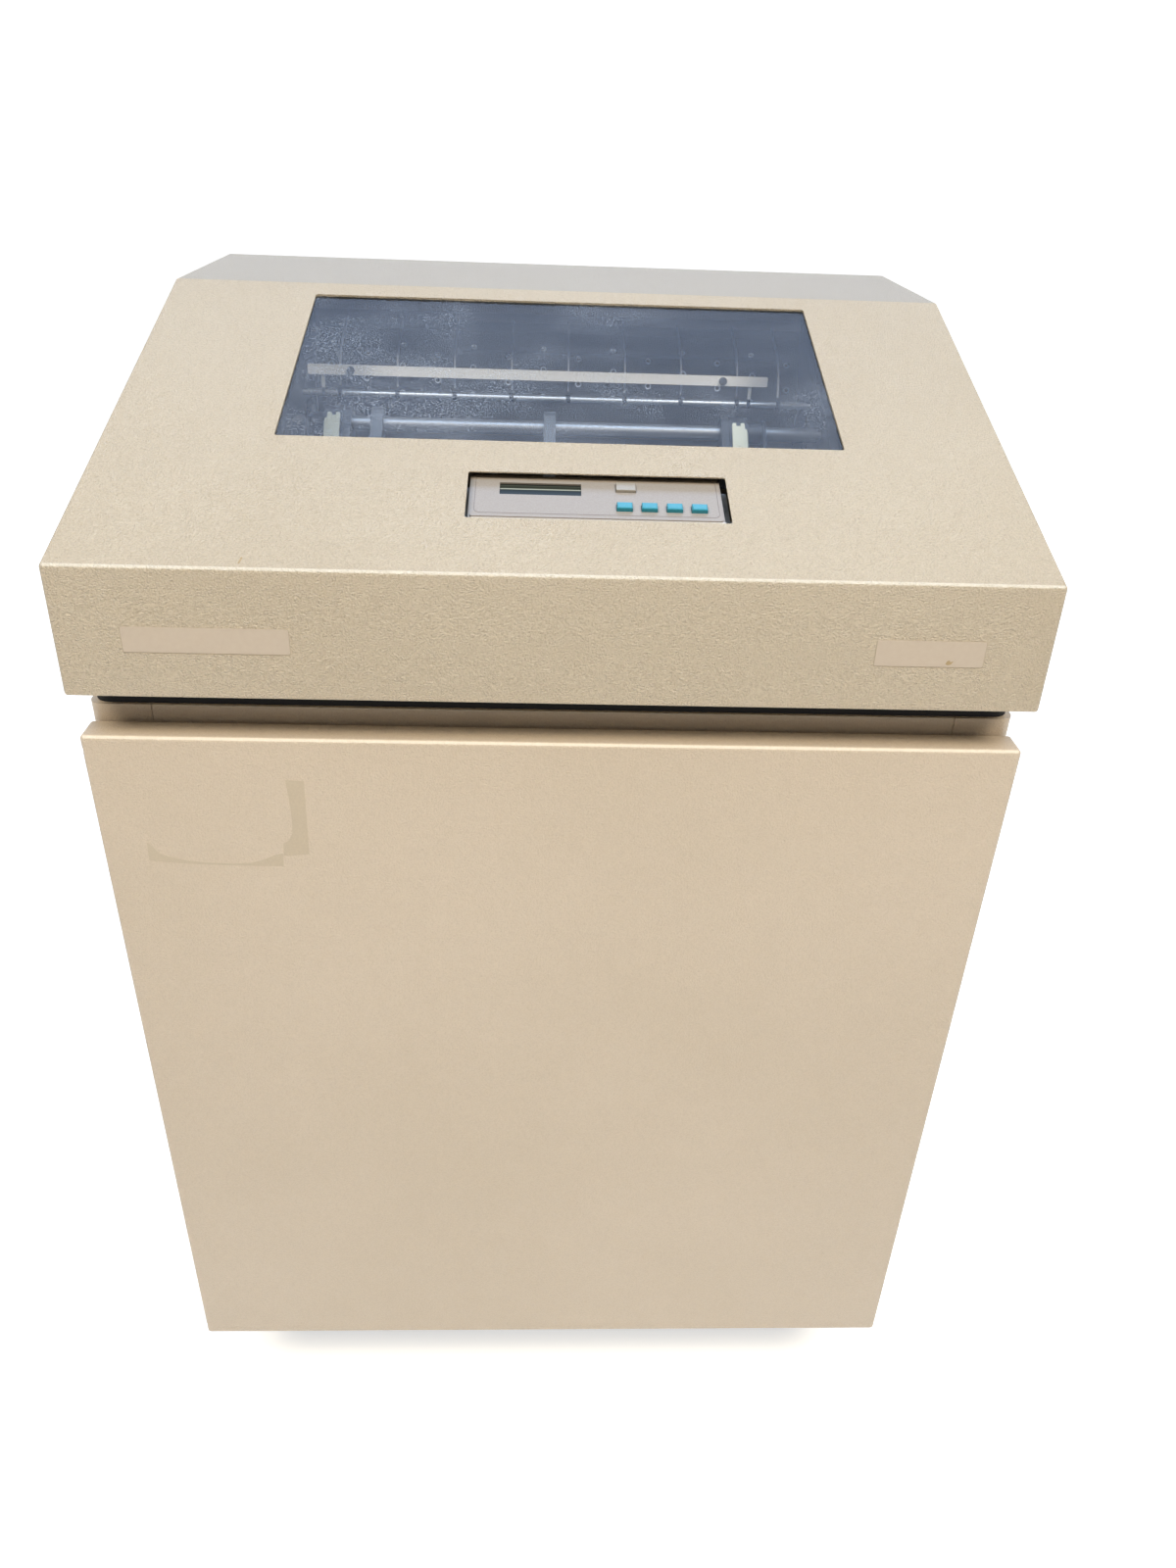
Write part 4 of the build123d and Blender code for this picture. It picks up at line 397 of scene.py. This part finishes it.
edgeGroup = makeEdgeGroup()
nodeFinish = {
    "hood_shell": (hoodBeige, 0.0), "rear_cover": (hoodBeige, 0.0),
    "front_door_shell": (cabinetBeige, 0.0), "rear_door_shell": (cabinetBeige, 0.0),
    "left_side_panel": (cabinetBeige, 0.0), "right_side_panel": (cabinetBeige, 0.0),
    "header_panels": (cabinetBeige, 0.0),
    "hood_window": (tintedAcrylic, 0.3), "curved_shield": (clearPolycarbonate, 0.0),
    "hood_seal": (plain["foamRubberBlack"], 0.5), "hood_liner": (plain["foamPolyetherGrey"], 1.5),
    "front_door_liner": (plain["foamPolyetherGrey"], 1.5),
    "base_frame": (plain["blackStoveEnamel"], 0.4),
    "deck_plate": (plain["blackStoveEnamel"], 0.4),
    "rear_port_panel": (plain["blackGlassFilledNylon"], 0.3),
    "power_rocker": (plain["blackGlassFilledNylon"], 0.3),
    "hinge_rear_leaves": (plain["zincPlatedSteel"], 0.2),
    "hinge_hood_leaves": (plain["zincPlatedSteel"], 0.2),
    "gas_spring_cylinder": (plain["blackStoveEnamel"], 0.4),
    "gas_spring_rod": (plain["groundSteelRod"], 0.3),
    "side_frames": (plain["sandCastAluminium"], 0.5),
    "support_shaft": (plain["dullSteelShaft"], 0.3), "guide_rod": (plain["groundSteelRod"], 0.2),
    "drive_shaft": (plain["dullSteelShaft"], 0.2), "tractor_left": (plain["blackFrameNylon"], 0.3),
    "tractor_right": (plain["blackFrameNylon"], 0.3),
    "tractor_left_door": (plain["creamAcetal"], 0.3),
    "tractor_right_door": (plain["creamAcetal"], 0.3),
    "paper_support_left": (plain["sandCastAluminium"], 0.4),
    "paper_support_centre": (plain["sandCastAluminium"], 0.4),
    "platen": (plain["groundSteelRod"], 0.3),
    "forms_lever": (plain["blackGlassFilledNylon"], 0.5),
    "paper_guide_ribs": (plain["paleCastRib"], 0.2),
    "guide_rod_clips": (clipNylonSteel, 0.3), "paper_scale": (plain["whiteEnamelScale"], 0.2),
    "scale_screws": (plain["screwNickel"], 0.2), "shuttle_frame": (plain["sandCastAluminium"], 0.5),
    "hammer_bank": (plain["sandCastAluminium"], 0.5),
    "ribbon_spool_left": (plain["blackGlassFilledNylon"], 0.3),
    "ribbon_spool_right": (plain["blackGlassFilledNylon"], 0.3),
    "ribbon_web": (plain["inkedNylonRibbon"], 0.0),
    "control_panel": (plain["panelAbsGrey"], 0.5), "display_module": (displayGlass, 0.2),
    "key_grey": (plain["keyAbsGrey"], 0.2), "key_clear": (plain["keyAbsTeal"], 0.2),
    "key_feed": (plain["keyAbsTeal"], 0.2), "key_eject": (plain["keyAbsTeal"], 0.2),
    "key_online": (plain["keyAbsTeal"], 0.2),
    "control_panel_bracket": (plain["zincPlatedSteel"], 0.3),
    "feed_motor": (plain["blackStoveEnamel"], 0.5), "card_cage": (plain["circuitBoxSteel"], 0.3),
    "stacker_basket": (plain["zincPlatedSteel"], 0.2),
}
for place in ("front_left", "front_right", "rear_left", "rear_right"):
    nodeFinish["caster_fork_" + place] = (plain["casterZincSteel"], 0.4)
    nodeFinish["caster_wheel_" + place] = (plain["casterRubberGrey"], 0.4)


def dressNode(name, material, roundMm):
    part = nodes[name]
    part.data.materials.clear()
    part.data.materials.append(material)
    smooth = part.modifiers.new("joinAndSmooth", "NODES")
    smooth.node_group = edgeGroup
    if roundMm > 0:
        bevel = part.modifiers.new("edgeRound", "BEVEL")
        bevel.width = roundMm * mm
        bevel.segments = 2
        bevel.limit_method = "ANGLE"
        bevel.angle_limit = math.radians(roundedEdgeDegrees)
        bevel.harden_normals = True
        bevel.use_clamp_overlap = True


for name, (material, roundMm) in nodeFinish.items():
    dressNode(name, material, roundMm)
print("stage 3: CAD nodes dressed")


# ---- surfaces worked out on grids
def surfaceObject(name, points, faces, material):
    # points is an array of shape (count, 3), faces a list or array of vertex numbers
    mesh = bpy.data.meshes.new(name)
    mesh.from_pydata(points.tolist(), [], faces if isinstance(faces, list) else faces.tolist())
    mesh.validate()
    mesh.materials.append(material)
    obj = bpy.data.objects.new(name, mesh)
    bpy.context.scene.collection.objects.link(obj)
    return obj


def gridFaces(rows, columns):
    # quads of a rows by columns grid of points, row by row
    index = np.arange(rows * columns).reshape(rows, columns)
    return np.stack([index[:-1, :-1], index[:-1, 1:], index[1:, 1:], index[1:, :-1]],
                    axis=-1).reshape(-1, 4)


def wrapFaces(rows, columns):
    # quads of a grid that closes on itself both ways, like a ring tube
    index = np.arange(rows * columns).reshape(rows, columns)
    down, right = np.roll(index, -1, axis=0), np.roll(index, -1, axis=1)
    both = np.roll(right, -1, axis=0)
    return np.stack([index, right, both, down], axis=-1).reshape(-1, 4)


# hood slope: u runs up the slope from the fold, n points out of it
slopeFold = np.array([0.0, *slopeFoldMm]) * mm
slopeUp = np.array([0.0, math.cos(slopeTilt), math.sin(slopeTilt)])
slopeOut = np.array([0.0, -math.sin(slopeTilt), math.cos(slopeTilt)])
# hood front: the nearly upright face from the lower edge to the fold
frontFoot = np.array([0.0, *frontFootMm]) * mm
frontUp = np.array([0.0, math.cos(frontTilt), math.sin(frontTilt)])
frontOut = np.array([0.0, -math.sin(frontTilt), math.cos(frontTilt)])


def onPlane(plane, x, s, lift):
    # point = origin + x across + s up the face + lift along its normal, all in millimetres
    origin, up, out = plane
    across = np.array([1.0, 0.0, 0.0])
    x, s, lift = (np.asarray(v, dtype=float)[..., None] * mm for v in (x, s, lift))
    return origin + x * across + s * up + lift * out


slopeFace = (slopeFold, slopeUp, slopeOut)
frontFace = (frontFoot, frontUp, frontOut)


def roundedLoop(halfWide, halfTall, corner, steps):
    # four quarter circles of the corner radius joined by the straight sides; the normals are the
    # arc's own
    turn = np.concatenate([np.linspace(q * math.pi / 2, (q + 1) * math.pi / 2,
                                       steps) for q in range(4)])
    middleX = np.repeat([1, -1, -1, 1], steps) * (halfWide - corner)
    middleY = np.repeat([1, 1, -1, -1], steps) * (halfTall - corner)
    normal = np.stack([np.cos(turn), np.sin(turn)], axis=1)
    return np.stack([middleX, middleY], axis=1) + corner * normal, normal


def thinFrame(name, plane, look, material):
    # a raised line round a rounded rectangle: its cross-section is an oblong, look["line"] wide and
    # look["tall"] high
    loop, normal = roundedLoop(look["wide"] / 2, look["high"] / 2, look["corner"], 8)
    half, low, high = look["line"] / 2, look["lift"] - 0.1, look["lift"] + look["tall"]
    section = np.array([[-half, low], [half, low], [half, high], [-half, high]])
    offset = section[None, :, 0, None] * normal[:, None, :]
    flat = loop[:, None, :] + offset
    points = onPlane(plane, look["x"] + flat[..., 0], look["s"] + flat[..., 1],
                     np.broadcast_to(section[None, :, 1], flat.shape[:2]))
    return surfaceObject(name, points.reshape(-1, 3), wrapFaces(len(loop), 4), material)


def thinPlate(name, plane, look, material):
    # a rounded rectangle lifted off the face: rows run from its middle to the rim, over a small
    # edge and down
    loop, normal = roundedLoop(look["wide"] / 2, look["high"] / 2, look["corner"], 6)
    rows = [(0.02, look["tall"]), (0.5, look["tall"]), (1.0, look["tall"]), (1.0, -0.05)]
    shrink = np.array([row[0] for row in rows])
    lift = np.array([row[1] for row in rows]) + look["lift"]
    flat = loop[None, :, :] * shrink[:, None, None]
    points = onPlane(plane, look["x"] + flat[..., 0], look["s"] + flat[..., 1],
                     np.broadcast_to(lift[:, None], flat.shape[:2]))
    columns = len(loop)
    index = np.arange(len(rows) * columns).reshape(len(rows), columns)
    right = np.roll(index, -1, axis=1)
    sides = np.stack([index[:-1], index[1:], right[1:], right[:-1]], axis=-1).reshape(-1, 4)
    faces = sides.tolist() + [index[0].tolist()] + [index[-1][::-1].tolist()]
    return surfaceObject(name, points.reshape(-1, 3), faces, material)


# ---- two bare labels on the hood front: a film a little greyer and smoother than the paint
bareLabels = {
    "leftLabel": {"x": -240.6, "s": 42.2, "wide": 112.0, "high": 18.2, "corner": 1.2, "tall": 0.3,
                  "lift": 0.0},
    "rightLabel": {"x": 256.2, "s": 42.9, "wide": 76.7, "high": 19.0, "corner": 1.2, "tall": 0.3,
                   "lift": 0.0},
}
for name, values in bareLabels.items():
    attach(thinPlate(name, frontFace, values, plain["labelVinylMatt"]), "hood")
    edge = {"x": values["x"], "s": values["s"] - 0.25, "wide": values["wide"] + 0.5,
            "high": values["high"] + 0.5,
            "corner": 1.3, "line": 0.45, "tall": 0.05, "lift": 0.0}
    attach(thinFrame(name + "Edge", frontFace, edge, plain["filmEdgeTan"]), "hood")

# ---- the panel face is edged by a fine moulded line, drawn darker as its painted shade
panelLine = {"x": 25.0, "s": 101.2, "wide": 176.5, "high": 45.0, "corner": 4.0, "line": 0.6,
             "tall": 0.12, "lift": -6.5}
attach(thinFrame("panelLine", slopeFace, panelLine, plain["panelLineGrey"]), "cabinet")

# the panel's lower lip: a pale strip painted as its highlight, and just up the slope a darker strip
# painted as its shade
panelBeads = {
    "panelBeadHighlight": ({"x": 26.0, "s": 72.6, "wide": 182.0, "high": 1.5, "corner": 0.7, "tall": 0.25,
                   "lift": -6.5}, "panelBeadHighlightGrey"),
    "panelBeadShade": ({"x": 26.0, "s": 75.0, "wide": 182.0, "high": 0.8, "corner": 0.35,
                        "tall": 0.1, "lift": -6.5}, "panelLineGrey"),
}
for name, (values, finish) in panelBeads.items():
    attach(thinPlate(name, slopeFace, values, plain[finish]), "cabinet")

# ---- flat stains: an outline in millimetres on a face, closed below and filmed above
doorFace = (np.array([0.0, -359.5, 0.0]) * mm, np.array([0.0, 0.0, 1.0]),
            np.array([0.0, -1.0, 0.0]))
stains = {
    # name: face, what it rides, finish, height off the face, outline as (x across, distance up the
    # face)
    "glueStripUpright": (doorFace, "front_door", "adhesiveStain", 0.06, (
        (-207.6, 710.8), (-188.1, 712.6), (-186.5, 777.3), (-200.1, 778.2), (-199.0, 764.8),
        (-198.6, 753.5),
        (-198.3, 743.4), (-199.2, 731.7), (-202.3, 725.1), (-206.9, 722.1))),
    "glueStripCurved": (doorFace, "front_door", "adhesiveStain", 0.06, (
        (-309.6, 705.1), (-292.0, 703.4), (-272.5, 702.2), (-250.4, 701.6), (-226.9, 701.2),
        (-208.6, 701.3),
        (-207.8, 713.1), (-213.4, 711.9), (-222.5, 707.5), (-232.8, 704.1), (-247.7, 703.2),
        (-265.0, 703.8),
        (-279.5, 705.3), (-291.4, 707.8), (-300.6, 711.7), (-305.7, 718.4), (-308.9, 722.0))),
    "slopeScuff": (slopeFace, "hood", "ochreScuff", 0.06,
                   ((-214.7, 6.0), (-213.6, 5.2), (-212.4, 11.8), (-213.6, 13.0))),
    "labelBlot": (frontFace, "hood", "ochreScuff", 0.36, (
        (267.9, 35.6), (269.6, 34.8), (271.8, 35.4), (273.4, 37.8), (271.2, 37.2), (270.4, 38.6),
        (268.8, 37.8))),
}


def thinStain(name, plane, lift, outline, material):
    # two copies of the outline, 0.1 mm apart, the upper one at the lift, joined by a band of quads
    flat = np.array(outline)
    count = len(flat)
    points = np.concatenate([onPlane(plane, flat[:, 0], flat[:, 1],
                                     np.full(count, height)) for height in (lift - 0.1, lift)])
    index = np.arange(count)
    turned = np.roll(index, -1)
    band = np.stack([index, turned, turned + count, index + count], axis=-1).tolist()
    return surfaceObject(name, points, band + [index[::-1].tolist(), (index + count).tolist()],
                         material)


for name, (plane, carrier, finish, lift, outline) in stains.items():
    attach(thinStain(name, plane, lift, outline, plain[finish]), carrier)

# ---- bright rims of the holes in the clear shield: the drilled edge of a clear sheet mirrors the
# room and looks white
shieldHoles = {
    "centreY": 100.0, "centreZ": 965.0, "radius": 45.0, "hole": 2.5, "rim": 0.8, "pitch": 67.4,
    "count": 7,
    "rows": ((-217.7, 177), (-217.7, 145), (-217.7, 113), (-184.0, 161), (-184.0, 129)),
}


def makeHoleRims(look):
    # each rim is a ring tube: middle + (hole + rim cos b)(cos a across + sin a along the sheet) +
    # rim sin b outward
    around, section = 14, 6
    a = np.linspace(0, 2 * math.pi, around, endpoint=False)[:, None]
    b = np.linspace(0, 2 * math.pi, section, endpoint=False)[None, :]
    points, faces = [], []
    for firstX, degrees in look["rows"]:
        turn = math.radians(degrees)
        out = np.array([0.0, math.cos(turn), math.sin(turn)])
        along = np.array([0.0, -math.sin(turn), math.cos(turn)])
        middle = np.array([0.0, look["centreY"], look["centreZ"]]) + look["radius"] * out
        for i in range(look["count"]):
            across = (look["hole"] + look["rim"] * np.cos(b)) * np.cos(a)
            upward = (look["hole"] + look["rim"] * np.cos(b)) * np.sin(a)
            lift = look["rim"] * 1.4 * np.sin(b) + 0 * a
            ring = middle + upward[..., None] * along + lift[..., None] * out
            ring[..., 0] += firstX + look["pitch"] * i + across
            faces.append(wrapFaces(around, section) + len(points) * around * section)
            points.append(ring.reshape(-1, 3) * mm)
    return surfaceObject("shieldHoleRims", np.concatenate(points), np.concatenate(faces),
                         plain["drilledAcrylicEdge"])


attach(makeHoleRims(shieldHoles), "cabinet")
print("stage 4: small visual pieces made")


# ---- floor, backdrop, light and camera
# seen and mirrored, lights nothing
paperGlow = {"near": 0.62, "far": 0.80, "nearMetres": 0.9, "farMetres": 2.4}
# the room's strength on matt surfaces, and where it is seen or mirrored
roomDark, roomSeen = 0.04, 1.0


def seenStrength(tree, matt, seen):
    # matt for light that falls on matt surfaces; seen for camera, glossy and transmission rays
    path = addNode(tree, "ShaderNodeLightPath")
    mirrored = addNode(tree, "ShaderNodeMath", {"operation": "MAXIMUM"},
                       {0: (path, "Is Camera Ray"), 1: (path, "Is Glossy Ray")})
    either = addNode(tree, "ShaderNodeMath", {"operation": "MAXIMUM"},
                     {0: (mirrored, 0), 1: (path, "Is Transmission Ray")})
    return addNode(tree, "ShaderNodeMath", {"operation": "MULTIPLY_ADD", 1: seen - matt, 2: matt},
                   {0: (either, 0)})


def makeBackdrop():
    # a flat floor that turns up through a quarter circle into a wall behind
    # glow = share seen x (near to far by the distance from the object)
    material, tree = newMaterial("paleStudioPaper")
    coords = addNode(tree, "ShaderNodeTexCoord")
    away = addNode(tree, "ShaderNodeVectorMath", {"operation": "LENGTH"}, {0: (coords, 3)})
    rise = addNode(tree, "ShaderNodeMapRange",
                   {1: paperGlow["nearMetres"], 2: paperGlow["farMetres"], 3: paperGlow["near"],
                    4: paperGlow["far"]},
                   {0: (away, "Value")})
    seen = seenStrength(tree, 0.0, 1.0)
    glow = addNode(tree, "ShaderNodeMath", {"operation": "MULTIPLY"}, {0: (seen, 0), 1: (rise, 0)})
    shader = addNode(tree, "ShaderNodeBsdfPrincipled",
                     {"Base Color": hexToLinear("#f4f4f2"), "Roughness": 0.9,
                      "Emission Color": (1, 1, 1, 1)},
                     {"Emission Strength": (glow, 0)})
    finishMaterial(tree, shader)
    bend = np.linspace(0, math.pi / 2, 24)
    radius, wallY, wide = 2.0, 6.0, 12.0
    profile = np.concatenate([
        [[-8.0, 0.0]],
        np.stack([wallY - radius + radius * np.sin(bend), radius - radius * np.cos(bend)], axis=1),
        [[wallY, 9.0]],
    ])
    points = np.array([[x, y, z] for x in (-wide, wide) for y, z in profile])
    faces = gridFaces(2, len(profile))[:, ::-1]
    floor = surfaceObject("studioFloor", points, faces, material)
    for polygon in floor.data.polygons:
        polygon.use_smooth = True


makeBackdrop()


def addLamp(name, place, target, size, power, colour):
    data = bpy.data.lights.new(name, "AREA")
    data.shape = "RECTANGLE"
    data.size, data.size_y = size
    data.energy = power
    data.color = hexToLinear(colour)[:3]
    lamp = bpy.data.objects.new(name, data)
    bpy.context.scene.collection.objects.link(lamp)
    lamp.location = place
    lamp.rotation_euler = (Vector(target) - Vector(place)).to_track_quat("-Z", "Y").to_euler()


studioLamps = {
    # name: place, target, size, watts, colour
    "highLeft": ((-1.7, -2.0, 3.5), (0, -0.1, 0.8), (1.2, 1.0), 79, "#fff3df"),
    "highRight": ((1.7, -2.0, 3.5), (0, -0.1, 0.8), (1.2, 1.0), 84, "#fff3df"),
    "ceilingSheen": ((0.1, 2.2, 3.75), (0, -0.15, 1.0), (3.4, 1.2), 50, "#aecdff"),
    "overhead": ((0.0, -1.0, 3.6), (0, -0.1, 0.9), (2.4, 1.2), 49, "#b4d8ff"),
}
for name, lamp in studioLamps.items():
    addLamp(name, *lamp)

world = bpy.data.worlds.new("room")
bpy.context.scene.world = world
world.use_nodes = True
worldTree = world.node_tree
worldTree.nodes.clear()
background = addNode(worldTree, "ShaderNodeBackground", {"Color": (1, 1, 1, 1)},
                     {"Strength": (seenStrength(worldTree, roomDark, roomSeen), 0)})
addNode(worldTree, "ShaderNodeOutputWorld", {}, {"Surface": (background, 0)})

cameraFit = {"place": (-0.0139, -1.0913, 1.2117), "pitch": 0.533976, "yaw": -0.049492,
             "roll": 0.039727, "focal": 1171.2}


def makeCamera(fit):
    # forward = turned by yaw about Z, then pitched down; the image is turned by roll about forward
    cy, sy = math.cos(fit["yaw"]), math.sin(fit["yaw"])
    cp, sp = math.cos(fit["pitch"]), math.sin(fit["pitch"])
    cr, sr = math.cos(fit["roll"]), math.sin(fit["roll"])
    turn = Matrix(((cy, -sy, 0), (sy, cy, 0), (0, 0, 1)))
    forward = turn @ Vector((0, cp, -sp))
    right = turn @ Vector((1, 0, 0))
    up = right.cross(forward)
    tiltedRight = cr * right + sr * up
    tiltedUp = cr * up - sr * right
    rotation = Matrix((tiltedRight, tiltedUp, -forward)).transposed().to_4x4()
    data = bpy.data.cameras.new("photoCamera")
    data.sensor_fit = "VERTICAL"
    data.sensor_height = sensorHeightMm
    data.lens = fit["focal"] / photoHeightPixels * sensorHeightMm
    data.clip_end = 60
    camera = bpy.data.objects.new("photoCamera", data)
    bpy.context.scene.collection.objects.link(camera)
    camera.matrix_world = Matrix.Translation(fit["place"]) @ rotation
    bpy.context.scene.camera = camera


makeCamera(cameraFit)
bpy.context.scene.view_settings.view_transform = "Standard"
print("stage 5: floor, light and camera placed")
